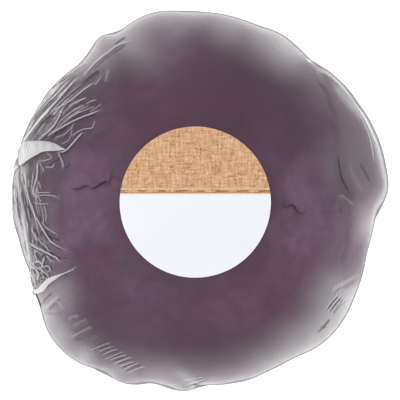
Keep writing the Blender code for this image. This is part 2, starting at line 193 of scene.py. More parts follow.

# Folds in the film, as (half width, height, points). A furrow's height is below 0. The height also
# sets the painted highlight along a crest and the painted shade in a furrow.
FOLDS = (
    # the main fold up the left shoulder, and those beside it along the rim
    (0.50, 0.9, ((-49.2, 53.2), (-53.0, 48.9), (-57.2, 43.9), (-61.4, 39.2), (-65.6, 34.6),
     (-69.8, 29.5), (-71.9, 27.0))),
    (1.00, 0.9, ((-59.8, 40.5), (-64.8, 35.4), (-69.4, 30.0), (-72.5, 26.0), (-74.5, 22.5))),
    (0.50, 0.7, ((-53.0, 51.5), (-58.0, 46.0), (-63.9, 40.1), (-68.6, 33.8), (-70.7, 30.0))),
    (0.45, 0.6, ((-57.0, 49.2), (-62.2, 43.5), (-66.9, 38.4), (-69.6, 34.0))),
    (0.50, 0.4, ((-26.0, 68.4), (-32.7, 66.2), (-36.1, 63.7), (-42.0, 59.1), (-46.2, 54.4),
     (-48.8, 51.0))),
    (0.42, -0.7, ((-55.8, 45.7), (-60.6, 41.4), (-66.5, 35.4), (-71.1, 28.7))),
    (0.38, -0.6, ((-59.1, 44.5), (-63.9, 39.7), (-69.4, 33.0))),
    (0.40, -0.6, ((-49.8, 54.2), (-53.4, 49.8), (-57.0, 46.0))),
    (0.40, -0.5, ((-51.2, 54.8), (-58.4, 49.4), (-62.2, 47.0))),
    (0.60, -0.3, ((-28.0, 66.9), (-36.9, 61.2), (-44.9, 54.0))),
    (0.40, -0.5, ((-29.0, 69.6), (-31.4, 68.4), (-34.2, 66.2))),
    # the fan above the upper tuck
    (0.45, 0.7, ((-41.1, 51.5), (-47.1, 47.3), (-53.0, 42.6), (-57.2, 40.1), (-61.8, 37.3))),
    (0.45, 0.7, ((-45.6, 44.2), (-49.2, 42.6), (-53.9, 40.2))),
    (0.40, 0.5, ((-41.5, 43.2), (-43.7, 42.6), (-46.4, 41.1))),
    (0.32, 0.5, ((-46.6, 41.0), (-49.2, 39.5), (-53.6, 37.3))),
    (0.32, 0.5, ((-46.6, 40.3), (-49.6, 38.0), (-51.4, 36.8))),
    (0.48, 0.8, ((-38.4, 39.6), (-43.7, 37.3), (-47.5, 35.9), (-52.1, 33.8), (-57.2, 31.0),
     (-61.4, 28.3), (-63.4, 25.8))),
    (0.32, 0.4, ((-39.4, 41.8), (-42.0, 39.7), (-45.0, 37.7))),
    (0.46, 0.8, ((-55.6, 40.6), (-57.2, 36.3), (-59.7, 32.1), (-61.4, 30.2), (-64.8, 27.4),
     (-66.9, 24.9))),
    (0.35, 0.5, ((-54.7, 34.2), (-57.2, 32.1), (-61.4, 28.5), (-63.0, 26.2))),
    (0.32, 0.5, ((-50.6, 34.5), (-52.1, 31.6), (-55.1, 28.7), (-58.0, 27.4), (-60.2, 26.1))),
    (0.30, 0.5, ((-52.1, 32.7), (-52.1, 29.5), (-53.0, 26.6), (-54.6, 25.3), (-57.3, 24.3))),
    (0.40, 0.6, ((-42.3, 35.2), (-42.8, 32.9), (-43.7, 31.2), (-47.5, 30.6), (-50.9, 28.7),
     (-52.4, 27.0))),
    (0.46, 0.9, ((-46.7, 30.3), (-50.4, 26.2), (-53.4, 22.8), (-55.5, 21.3), (-58.9, 21.2))),
    (0.60, 0.3, ((-36.8, 56.0), (-37.3, 53.2), (-37.9, 50.5))),
    (0.40, 0.4, ((-39.7, 53.7), (-40.7, 51.5), (-42.9, 48.9))),
    (0.80, -1.0, ((-63.8, 33.2), (-61.4, 35.1), (-59.4, 37.0))),
    (1.10, -0.6, ((-39.8, 55.7), (-42.8, 53.6), (-48.8, 49.0))),
    (0.70, -0.5, ((-46.6, 49.8), (-52.5, 45.1), (-56.4, 42.2))),
    (0.60, -0.6, ((-53.3, 31.9), (-58.0, 29.1), (-62.5, 25.0))),
    (0.60, -0.9, ((-68.4, 25.1), (-67.3, 26.6), (-65.7, 28.7))),
    (0.50, -0.9, ((-65.0, 25.0), (-63.5, 26.6), (-61.9, 28.1))),
    (0.60, -0.9, ((-62.9, 24.6), (-61.4, 26.2), (-59.4, 28.1))),
    (0.45, -0.8, ((-56.2, 21.9), (-54.6, 23.2), (-52.6, 24.9))),
    (0.45, -0.5, ((-41.5, 44.6), (-44.5, 43.0), (-46.6, 41.9))),
    # down the left side below the upper tuck
    (0.50, 0.9, ((-65.8, 18.5), (-66.5, 15.6), (-66.5, 12.7), (-66.9, 10.1), (-68.2, 5.1),
     (-67.1, 1.0))),
    (0.35, 0.5, ((-65.8, 17.0), (-64.8, 14.8), (-63.9, 13.5), (-65.4, 12.2))),
    (0.35, 0.6, ((-66.7, 9.8), (-65.6, 7.2), (-65.0, 5.3))),
    (0.42, 0.6, ((-66.9, 7.2), (-66.9, 4.2), (-66.5, 2.1), (-64.3, 0.0))),
    (0.32, 0.7, ((-67.0, 4.0), (-63.9, 4.0), (-60.9, 4.0))),
    (0.32, 0.7, ((-67.2, 2.6), (-61.8, 2.9), (-56.9, 1.7))),
    (0.32, 0.7, ((-68.8, 0.2), (-66.0, -0.7), (-61.2, -0.7))),
    (0.35, 0.5, ((-66.3, 17.1), (-61.8, 17.9), (-60.6, 18.8), (-61.4, 19.8), (-63.0, 21.4))),
    (0.40, 0.5, ((-59.6, 17.0), (-60.1, 14.8), (-63.7, 14.8))),
    (0.60, 0.5, ((-58.2, 21.6), (-56.8, 18.6), (-55.9, 16.5), (-55.9, 13.7))),
    (0.55, 0.9, ((-72.0, 16.2), (-71.5, 10.0), (-71.1, 5.1), (-68.6, -3.0), (-66.0, -8.4),
     (-62.2, -14.8), (-60.1, -17.3), (-55.5, -19.8), (-52.4, -21.1))),
    (0.55, 0.7, ((-75.4, 13.7), (-74.9, 8.4), (-73.6, 2.1), (-71.9, -3.4), (-70.7, -9.7),
     (-70.7, -15.4))),
    (1.10, 0.6, ((-73.4, -3.2), (-71.9, -9.7), (-71.1, -15.2), (-69.2, -26.5))),
    (0.45, 0.6, ((-76.6, 6.9), (-76.2, 0.8), (-74.5, -10.0))),
    (0.35, 0.5, ((-73.8, 3.2), (-72.8, -2.1), (-71.8, -6.5))),
    (0.50, 0.6, ((-65.5, -7.5), (-63.5, -10.1), (-61.4, -11.8), (-57.3, -14.2))),
    (0.42, 0.7, ((-68.6, -9.0), (-68.6, -12.2), (-67.3, -14.4), (-65.9, -19.4))),
    (0.38, 0.7, ((-66.8, -14.4), (-64.8, -17.3), (-63.1, -18.6), (-61.1, -21.1))),
    (0.52, 0.9, ((-70.9, -16.4), (-67.3, -19.0), (-60.6, -22.4), (-58.4, -23.6), (-56.4, -26.3))),
    (0.35, 0.6, ((-63.9, -0.1), (-63.1, -3.8), (-62.7, -5.9), (-63.2, -8.6))),
    (0.38, 0.5, ((-63.5, -21.5), (-61.4, -24.1), (-58.7, -25.5))),
    (0.38, 0.4, ((-57.0, -31.2), (-53.8, -29.1), (-49.7, -27.1))),
    (0.55, -0.9, ((-62.1, 15.2), (-61.0, 15.8), (-59.8, 16.8))),
    (0.50, -0.8, ((-60.5, 16.7), (-58.4, 17.7), (-56.8, 19.2))),
    (0.45, -0.6, ((-56.0, 13.5), (-53.8, 15.2), (-52.0, 16.3))),
    (1.30, -0.6, ((-68.9, 18.6), (-69.4, 13.5), (-70.5, 8.3))),
    (0.50, -0.9, ((-72.8, 14.8), (-71.5, 16.2), (-69.9, 17.6))),
    (0.35, -0.8, ((-74.6, 13.4), (-74.1, 10.1), (-73.0, 5.9))),
    (0.35, -0.6, ((-73.4, 12.4), (-72.4, 9.3), (-71.3, 6.0))),
    (0.40, -0.7, ((-73.8, 6.1), (-72.4, -0.4), (-71.1, -5.9), (-70.1, -11.0))),
    (0.40, -0.6, ((-75.5, 3.4), (-74.5, -2.5), (-73.4, -8.4))),
    (0.45, -0.6, ((-72.5, 5.9), (-71.5, 0.8), (-69.8, -3.4), (-67.3, -7.9))),
    (0.60, -0.4, ((-68.6, -1.0), (-66.5, -5.1), (-64.4, -9.1))),
    (0.50, -0.7, ((-67.9, -10.6), (-66.9, -12.7), (-65.2, -14.9))),
    (0.60, -0.6, ((-65.5, -11.7), (-63.5, -14.4), (-61.9, -17.0))),
    (0.70, -0.4, ((-62.0, -13.6), (-58.9, -15.6), (-55.7, -16.7))),
    (0.45, -0.9, ((-61.7, -20.9), (-60.6, -21.5), (-58.9, -22.7))),
    (0.55, -0.4, ((-59.6, -22.5), (-56.3, -23.6), (-52.2, -23.6))),
    (0.70, -0.6, ((-68.5, -15.8), (-66.9, -16.9), (-65.7, -19.0))),
    (0.60, -0.6, ((-65.6, -18.3), (-63.5, -19.8), (-61.8, -21.0))),
    # the net's strands
    (0.40, 0.8, ((-67.3, -21.1), (-67.0, -23.2), (-66.9, -24.9))),
    (0.45, 0.9, ((-67.7, -25.7), (-66.5, -25.0), (-65.2, -25.4), (-64.4, -26.6), (-64.1, -27.9))),
    (0.45, 0.9, ((-64.6, -21.7), (-63.7, -23.6), (-64.1, -25.3), (-64.4, -27.0))),
    (0.40, 0.6, ((-62.7, -22.4), (-61.4, -24.1), (-60.3, -25.5))),
    (0.40, 0.7, ((-63.7, -27.2), (-62.2, -26.9), (-61.2, -27.9), (-61.0, -29.3))),
    (0.50, 0.9, ((-69.4, -25.3), (-69.0, -27.0), (-67.7, -28.1), (-66.5, -29.3), (-66.0, -30.8),
     (-66.5, -32.5), (-65.4, -34.6))),
    (0.45, 0.9, ((-66.9, -28.1), (-65.2, -28.3), (-63.9, -29.5), (-62.2, -30.6), (-62.0, -31.7))),
    (0.40, 0.8, ((-64.4, -30.0), (-63.9, -31.7), (-64.8, -33.3))),
    (0.55, 0.8, ((-69.8, -27.9), (-69.4, -30.8), (-68.1, -32.5), (-67.3, -35.9))),
    (0.40, 0.8, ((-68.4, -28.3), (-68.1, -30.4), (-67.1, -31.7))),
    # from the lower tuck along the lower left rim
    (1.10, 0.28, ((-63.6, -45.2), (-60.6, -42.2), (-57.4, -39.1))),
    (0.90, 0.15, ((-59.7, -41.1), (-57.2, -43.0), (-55.1, -45.7))),
    (0.90, 0.22, ((-53.9, -49.8), (-51.3, -48.1), (-48.6, -48.1))),
    (0.80, 0.20, ((-52.0, -52.3), (-48.7, -50.6), (-45.1, -49.2))),
    (0.80, 0.28, ((-52.6, -57.1), (-48.7, -54.9), (-43.3, -51.9))),
    (0.60, -0.3, ((-65.3, -43.6), (-63.1, -40.9), (-60.0, -37.8))),
    (0.50, -0.4, ((-67.4, -37.8), (-66.5, -40.9), (-64.9, -44.6))),
    (0.90, -0.15, ((-64.0, -46.2), (-59.7, -47.3), (-54.7, -46.8))),
    (0.45, -0.25, ((-52.6, -49.9), (-50.0, -49.4), (-47.0, -51.9))),
    (0.50, -0.25, ((-50.9, -54.3), (-47.9, -52.3), (-44.3, -50.3))),
    (0.60, -0.25, ((-52.1, -58.3), (-47.9, -57.4), (-45.2, -55.3))),
    (0.50, -0.25, ((-46.0, -59.1), (-43.7, -57.8), (-41.0, -56.2))),
    # by the grooves at the right rim
    (0.45, -0.55, ((60.1, 20.3), (60.6, 16.0), (61.8, 10.1), (63.9, 5.9), (66.0, 2.5))),
    (0.80, -0.35, ((68.6, 16.9), (71.1, 13.5), (72.8, 10.1), (74.1, 7.6))),
    (1.60, 0.14, ((64.6, 17.6), (66.0, 12.6), (68.6, 7.2), (71.6, 2.8))),
    (0.80, 0.22, ((58.9, 2.5), (61.0, 2.7), (63.5, 1.7), (66.0, -0.4), (67.7, -1.7))),
    (0.45, -0.35, ((58.9, 2.5), (58.7, -0.5), (58.4, -3.4))),
    # along the upper right rim
    (0.90, 0.8, ((51.3, 56.5), (56.8, 53.2), (61.0, 49.8), (64.8, 45.6), (68.0, 41.2))),
    (0.45, 0.4, ((66.0, 41.8), (70.3, 34.6), (73.0, 28.2), (74.6, 21.5), (75.2, 15.0))),
    # at the lower right rim and the bottom
    (1.20, 0.25, ((56.8, -37.1), (63.1, -33.8), (69.8, -29.8))),
    (0.50, -0.4, ((52.5, -53.9), (54.7, -51.9), (57.0, -49.2))),
    (0.38, -0.3, ((51.3, -55.3), (53.4, -53.6), (55.7, -52.3))),
    (0.35, -0.3, ((-6.5, -78.0), (-0.2, -77.0), (4.8, -74.9))),
    (0.35, 0.5, ((-5.5, -77.8), (0.6, -75.9), (6.0, -73.9))),
    (0.35, 0.4, ((-5.0, -75.4), (0.4, -74.2), (5.0, -73.6))),
)

# Rows of short side by side folds, as
# (half width, height, first middle, last middle, how many, length, tilt in degrees)
FOLD_ROWS = (
    (0.40, 0.45, (-39.8, -60.6), (-25.0, -70.5), 9, 8.5, 22.0),
    (0.42, -0.35, (-38.9, -61.2), (-25.9, -69.9), 8, 7.5, 22.0),
    (0.32, 0.4, (57.6, -42.2), (60.8, -44.4), 4, 9.5, 51.0),
    (0.34, -0.35, (58.1, -42.6), (60.3, -44.0), 3, 8.5, 51.0),
    (0.32, 0.2, (58.6, -36.4), (61.6, -37.8), 4, 5.0, 48.0),
)

# Fans of fine folds between the drawn ones, as
# (half width, height, near end of both sides, far end of both sides, how many, bow)
FOLD_FANS = (
    (0.26, 0.45, ((-73.0, 25.0), (-60.0, 26.0)), ((-43.0, 58.0), (-41.0, 38.0)), 20, 2.5),
    (0.26, 0.55, ((-74.0, 30.0), (-69.0, 33.0)), ((-55.0, 56.0), (-45.0, 59.5)), 16, 2.0),
    (0.26, 0.55, ((-77.0, 12.0), (-66.0, 16.0)), ((-73.5, -18.0), (-60.0, -18.0)), 20, -2.0),
    (0.26, 0.40, ((-73.0, -14.0), (-64.0, -12.0)), ((-68.0, -34.0), (-60.0, -24.0)), 12, -1.0),
)

# Folded flaps of film, as (bulge, how strongly pleated, upper edge, lower edge), both from
# the rim to the tip
TUCKS = (
    (0.9, 1.0,
     ((-74.3, 22.4), (-71.5, 25.0), (-68.2, 25.5), (-63.9, 25.5), (-60.6, 25.1), (-58.0, 24.1),
      (-54.6, 22.2)),
     ((-76.0, 13.2), (-73.6, 15.4), (-71.5, 16.9), (-69.4, 18.4), (-66.9, 19.8), (-63.9, 21.2),
      (-58.4, 21.6), (-54.6, 22.1))),
    (0.7, 0.15,
     ((-67.9, -36.6), (-66.5, -36.5), (-64.4, -34.4), (-62.2, -32.3), (-59.3, -31.0),
      (-55.9, -30.0), (-51.0, -28.2)),
     ((-67.1, -38.9), (-65.6, -38.3), (-63.7, -37.4), (-61.4, -34.5), (-58.4, -32.3),
      (-55.9, -30.6), (-51.0, -28.4))),
)
PLEAT_STEP = 0.95  # from one of a tuck's pleats to the next, in mm
TUCK_ROWS, TUCK_COLUMNS, TUCK_TAIL_ROWS = 220, 30, 40

# The holes in the net of film above the lower tuck, as
# (middle, half length, half breadth, turn in degrees)
NET_HOLES = (
    ((-65.9, -23.0), 2.00, 0.80, -58.0),
    ((-64.2, -22.8), 0.90, 0.35, 85.0),
    ((-66.3, -26.5), 1.30, 0.75, -15.0),
    ((-62.5, -28.1), 1.00, 0.50, -40.0),
    ((-68.9, -28.9), 0.80, 0.40, -75.0),
    ((-67.6, -29.3), 1.00, 0.40, -65.0),
    ((-65.7, -29.0), 0.75, 0.40, -35.0),
    ((-64.9, -31.1), 0.75, 0.50, -30.0),
    ((-63.2, -31.0), 1.20, 0.50, -50.0),
    ((-64.6, -32.5), 0.60, 0.35, 20.0),
    ((-65.9, -33.6), 0.80, 0.30, -60.0),
    ((-68.0, -34.6), 0.90, 0.25, -85.0),
    ((-60.3, -21.4), 0.45, 0.35, 0.0),
    ((-67.5, -16.9), 0.90, 0.45, 45.0),
)

# Where the film is milky, partly from its own haze and partly as painted reflection of the lamps,
# as (middle, half width, amount)
MILK_AND_REFLECTION_PATCHES = (
    ((-28.0, 69.0), 8.0, 0.25),
    ((-20.0, 61.0), 9.0, 0.12),
    ((-44.0, 62.0), 7.0, 0.22),
    ((-8.0, 76.0), 8.0, 0.15),
    ((13.0, 73.0), 7.0, 0.16),
    ((31.0, 68.0), 9.0, 0.18),
    ((42.0, 62.0), 9.0, 0.30),
    ((73.0, -9.0), 6.0, 0.32),
    ((70.0, -2.0), 4.0, 0.10),
    ((62.0, 16.0), 13.0, 0.17),
    ((60.0, -40.0), 11.0, 0.38),
    ((54.0, -54.0), 9.0, 0.28),
    ((43.0, -61.0), 10.0, 0.32),
    ((30.0, -70.0), 8.0, 0.25),
    ((2.0, -77.0), 7.0, 0.15),
    ((-14.0, -75.0), 8.0, 0.16),
    ((-33.0, -71.0), 6.0, 0.18),
    ((-47.0, -65.0), 5.0, 0.28),
    ((-57.0, -56.0), 6.0, 0.25),
    ((-62.0, -48.0), 5.0, 0.25),
    ((-58.0, -39.0), 8.0, 0.20),
    ((-67.0, -16.0), 8.0, 0.12),
)

# Where the film clings and stays clear up to the rim, as
# (azimuth and half width in degrees, share of the rim's white that is missing)
CLINGING = (
    (36.0, 24.0, 0.90),
    (165.0, 46.0, 0.28),
    (236.0, 26.0, 0.30),
    (306.0, 18.0, 0.18),
    (340.0, 8.0, 0.60),
)

# Where the film stands off the leaves and is grey at the rim, in the same way
LOOSE_RIM = ((24.0, 26.0, 1.0), (188.0, 16.0, 0.8))

# Where the leaves are paler, partly from their wax bloom and partly as painted sheen of the film
# over them, as (middle, half width, amount). Below 0 they are darker.
PALE_EVERYWHERE = 0.22
PALE_AND_SHEEN_PATCHES = (
    ((20.0, 44.0), 30.0, -0.17),
    ((-62.0, 10.0), 22.0, 0.42),
    ((50.0, -12.0), 20.0, 0.15),
    ((63.0, 4.0), 14.0, 0.60),
    ((62.0, 20.0), 11.0, 0.30),
    ((-66.0, -14.0), 12.0, 0.55),
    ((-40.0, 7.0), 14.0, 0.75),
    ((-54.0, 22.0), 9.0, 0.30),
    ((-34.0, 28.0), 10.0, 0.30),
    ((-50.0, -8.0), 16.0, 0.45),
    ((40.0, 6.0), 12.0, 0.45),
    ((52.0, 2.0), 12.0, 0.55),
    ((44.0, -14.0), 12.0, 0.35),
    ((54.0, -38.0), 15.0, 0.80),
    ((64.0, -14.0), 10.0, 0.70),
    ((-24.0, -34.0), 14.0, 0.28),
    ((12.0, -40.0), 16.0, 0.22),
    ((-28.0, -52.0), 12.0, 0.18),
    ((-8.0, 56.0), 12.0, 0.12),
    ((-57.0, -40.0), 11.0, 0.95),
    ((-12.0, 70.0), 12.0, 0.35),
)

# Where they are redder, in the same way
RED_PATCHES = (
    ((6.0, -44.0), 15.0, 0.28),
    ((34.0, -40.0), 14.0, 0.34),
    ((46.0, -26.0), 10.0, 0.20),
    ((-2.0, 42.0), 14.0, 0.20),
    ((-44.0, 14.0), 8.0, 0.24),
)

CAMERA_RISE = 1100.0 * MM  # above the widest ring
CAMERA_ASIDE = (1.9 * MM, 0.84 * MM)  # from the head's axis
PICTURE_WIDTH = 168.8 * MM  # what the picture takes in on the level of the widest ring
SENSOR = 36.0  # the camera's usual width, in its own millimetres

# The sheets of film, as the azimuths of their columns in degrees, in stretches of
# (first, last, how many). They are closer where there are folds.
FILM_SHEETS = {
    "film_upper_left": ((112.0, 129.75, 72), (130.0, 156.0, 201)),
    "film_left": ((156.0, 186.0, 231),),
    "film_lower_left": ((186.0, 213.0, 209),),
    "film_bottom": ((213.0, 256.0, 173),),
    "film_right": (
        (256.0, 260.8, 5), (262.0, 273.7, 40), (274.0, 307.6, 29), (308.0, 325.7, 60),
        (326.0, 351.2, 22), (352.0, 383.8, 107), (384.0, 470.4, 73), (472.0, 472.0, 1),
    ),
}
CROWN_ROWS = np.arange(2.0, 38.0, 2.0)  # polar angles of the film's rows, in degrees
ROW_MOST = 0.6  # the widest step on the crown side
ROW_SEEN = 0.14  # the step as it is seen from above
ROWS_OPEN_FROM = 97.0  # past here they are wider apart
UNDERSIDE_ROWS = 26

# The stalk's side, as shares of its widest radius and of its height, from the cut face up
STALK_SIDE = (
    (0.925, 0.0), (0.955, 0.012), (0.985, 0.045), (1.0, 0.10), (0.998, 0.18), (0.985, 0.25),
    (0.93, 0.36), (0.83, 0.52), (0.67, 0.78), (0.53, 1.0),
)
STALK_FACE_RINGS = 14
STALK_SPOKES = 120
STALK_WAVES = ((5.0, 0.012, 1.0, 0.0), (13.0, 0.006, 0.0, 6.0))  # how many, depth, turn, twist

LABEL_SPOKES, LABEL_RINGS = 160, 30

# Clouds of colour on the leaves, as (size, detail, roughness, distortion, start, end)
SKIN_CLOUDS = {
    "patches": (45.0 * MM, 2.0, 0.5, 0.4, 0.42, 0.68),
    "mottle": (11.0 * MM, 5.0, 0.68, 0.6, 0.30, 0.72),
    "flush": (24.0 * MM, 3.0, 0.6, 0.8, 0.54, 0.70),
    "wax": (36.0 * MM, 2.0, 0.5, 0.5, 0.40, 0.72),
}
UNDERSIDE = (40.0 * MM, 85.0 * MM)  # where the leaves' pale undersides give way to the crown

WHITE = (1.0, 1.0, 1.0, 1.0)
FLOOR_HALF = 4.0  # half its width
# The lamps, as (name, place, size)
PANELS = (
    ("panel_back", (0.0, 1.5, 1.1), (2.4, 0.9)),
    ("panel_front", (0.3, -1.5, 1.1), (2.4, 0.9)),
    ("panel_left", (-1.4, 0.2, 1.6), (1.0, 1.6)),
)


def smooth_step(value):
    """0 below 0, 1 above 1, and an even rise between them."""
    held = np.clip(value, 0.0, 1.0)
    return held * held * (3.0 - 2.0 * held)


def bell(value, half_width):
    """1 at 0, falling away evenly to both sides."""
    return np.exp(-((value / half_width) ** 2))


def degrees_apart(one, other):
    """From -180 to 180."""
    return np.remainder(one - other + 180.0, 360.0) - 180.0


def ways(azimuth, polar):
    """Unit vectors for azimuths and polar angles."""
    azimuth, polar = np.broadcast_arrays(azimuth, polar)
    across = np.sin(polar)
    return np.stack((across * np.cos(azimuth), across * np.sin(azimuth), np.cos(polar)), -1)


def angles_of(way):
    """The azimuths and polar angles of unit vectors."""
    across = np.hypot(way[..., 0], way[..., 1])
    return np.arctan2(way[..., 1], way[..., 0]), np.arctan2(across, way[..., 2])


def risen(way, low, high):
    """0 where a way's height is below low, 1 where it is above high."""
    return smooth_step((way[..., 2] - low) / (high - low))


def place(way, distance):
    """The points that far from the head's middle."""
    return MIDDLE + way * np.asarray(distance)[..., None]


def film_radius(way):
    """How far the film is from the head's middle."""
    azimuth, polar = angles_of(way)
    across, up = np.sin(polar), np.cos(polar)
    squareness = np.where(up > 0.0, CROWN_SQUARENESS, UNDERSIDE_SQUARENESS)
    height = np.where(up > 0.0, RISE, DROP)
    even = (
        (across / RADIUS) ** squareness + (np.abs(up) / height) ** squareness
    ) ** (-1.0 / squareness)
    leaned = azimuth + LOBE_TWIST * up
    lobes = sum(high * np.cos(count * (leaned - crest)) for count, high, crest in LOBES)
    quilting = sum(
        depth * np.sin(around * azimuth + turn) * np.sin(down * polar)
        for around, down, depth, turn in QUILTING
    )
    return even + lobes * across**LOBE_FADE + quilting * across + bumps(azimuth, polar)


def bumps(azimuth, polar):
    """How far the bumps of the widest ring stand out. Each leans its own way."""
    turned = np.degrees(azimuth)
    below = np.degrees(polar - RING_POLAR)
    height = 0.0
    for k, (middle, half_width, high) in enumerate(BUMPS):
        lean = BUMP_LEAN * math.sin(BUMP_TURN * k)
        height = height + high * bell(degrees_apart(turned, middle + lean * below), half_width)
    return height * MM * bell(polar - RING_POLAR, RING_HALF)


def looseness(way):
    """How far the film stands off the leaves, beyond the usual gap."""
    depth = 0.0
    for azimuth, polar, half_width, patch_depth in LOOSE_PATCHES:
        away = np.arccos(np.clip(way @ ways(azimuth, polar), -1.0, 1.0))
        depth = depth + patch_depth * smooth_step(1.0 - away / half_width)
    return depth


def seen_at(way):
    """Where points of the film are seen from above, in mm on the level of the widest ring."""
    point = way * film_radius(way)[..., None]
    spread = CAMERA_RISE / (CAMERA_RISE - point[..., 2])
    return point[..., :2] * spread[..., None] / MM


def way_seen_at(spots):
    """The ways to the film's points that are seen at these places, held at the rim."""
    spots = np.asarray(spots, float)
    azimuth = np.arctan2(spots[..., 1], spots[..., 0])
    wanted = np.hypot(spots[..., 0], spots[..., 1])
    low = np.zeros_like(wanted)
    high = np.full_like(wanted, RING_POLAR)
    for _ in range(24):
        half = (low + high) / 2.0
        reached = np.hypot(*np.moveaxis(seen_at(ways(azimuth, half)), -1, 0))
        low = np.where(reached < wanted, half, low)
        high = np.where(reached < wanted, high, half)
    return ways(azimuth, low)


def smooth_route(points, step=0.5):
    """A smooth curve through the points, sampled about every step millimetres."""
    points = np.asarray(points, float)
    padded = np.vstack((2 * points[0] - points[1], points, 2 * points[-1] - points[-2]))
    route = []
    for k in range(1, len(padded) - 2):
        before, here, after, beyond = padded[k - 1 : k + 3]
        count = max(2, int(math.dist(here, after) / step))
        share = (np.arange(count) / count)[:, None]
        bend = 2 * before - 5 * here + 4 * after - beyond
        twist = 3 * here - before - 3 * after + beyond
        run = (after - before) * share + bend * share**2 + twist * share**3
        route.append(here + 0.5 * run)
    return np.vstack((*route, points[-1]))


def near_route(route, spots):
    """For each spot: how far it is from a route, how far it lies to the lower right of it, and
    1 beside the route's middle, down to 0 at its ends."""
    nearest = np.full(len(spots), np.inf)
    aside = np.zeros(len(spots))
    along = np.zeros(len(spots))
    pieces = len(route) - 1
    for k in range(pieces):
        start, run = route[k], route[k + 1] - route[k]
        share = np.clip(((spots - start) @ run) / (run @ run), 0.0, 1.0)
        offset = spots - start - share[:, None] * run
        away = np.hypot(*offset.T)
        closer = away < nearest
        nearest = np.where(closer, away, nearest)
        lower_right = np.sign(offset @ (1.0, -1.0))
        aside = np.where(closer, away * lower_right, aside)
        along = np.where(closer, (k + share) / pieces, along)
    ends = smooth_step(along / ROUTE_ENDS) * smooth_step((1.0 - along) / ROUTE_ENDS)
    return nearest, aside, ends


def grooves(way):
    """How deep the leaves are pressed in, in mm."""
    depth = np.zeros(way.shape[:-1])
    upper = way[..., 2] > -0.1
    if upper.any():
        spots = seen_at(way[upper])
        for deep, half_width, points in LEAF_GROOVES:
            away, _, ends = near_route(np.array(points), spots)
            depth[upper] += deep * bell(away, half_width) * ends
    return depth


def patches_at(way, patches):
    """The sum of soft round patches, each as (middle in mm, half width, amount)."""
    spots = seen_at(way)
    return sum(
        amount * bell(np.hypot(*(spots - middle).T), half_width)
        for middle, half_width, amount in patches
    )


def stretches_at(way, stretches):
    """The sum of stretches round the rim, each as (azimuth and half width in degrees, amount)."""
    turned = np.degrees(angles_of(way)[0])
    return sum(
        amount * np.exp(-((degrees_apart(turned, middle) / half_width) ** 4))
        for middle, half_width, amount in stretches
    )


def pale_and_sheen_at(way):
    """How much paler the leaves are here than their usual skin, from 0 to 1: partly wax bloom,
    partly painted sheen of the film over them.
    """
    pale = np.clip(PALE_EVERYWHERE + patches_at(way, PALE_AND_SHEEN_PATCHES), 0.0, 1.0)
    return pale * risen(way, -0.3, 0.1)


def between(turn, turns, fade):
    """1 between the first and last of these turns, down to 0 in this fade past them."""
    past = np.maximum(turns[0] - turn, turn - turns[-1])
    return smooth_step(1.0 - past / fade)


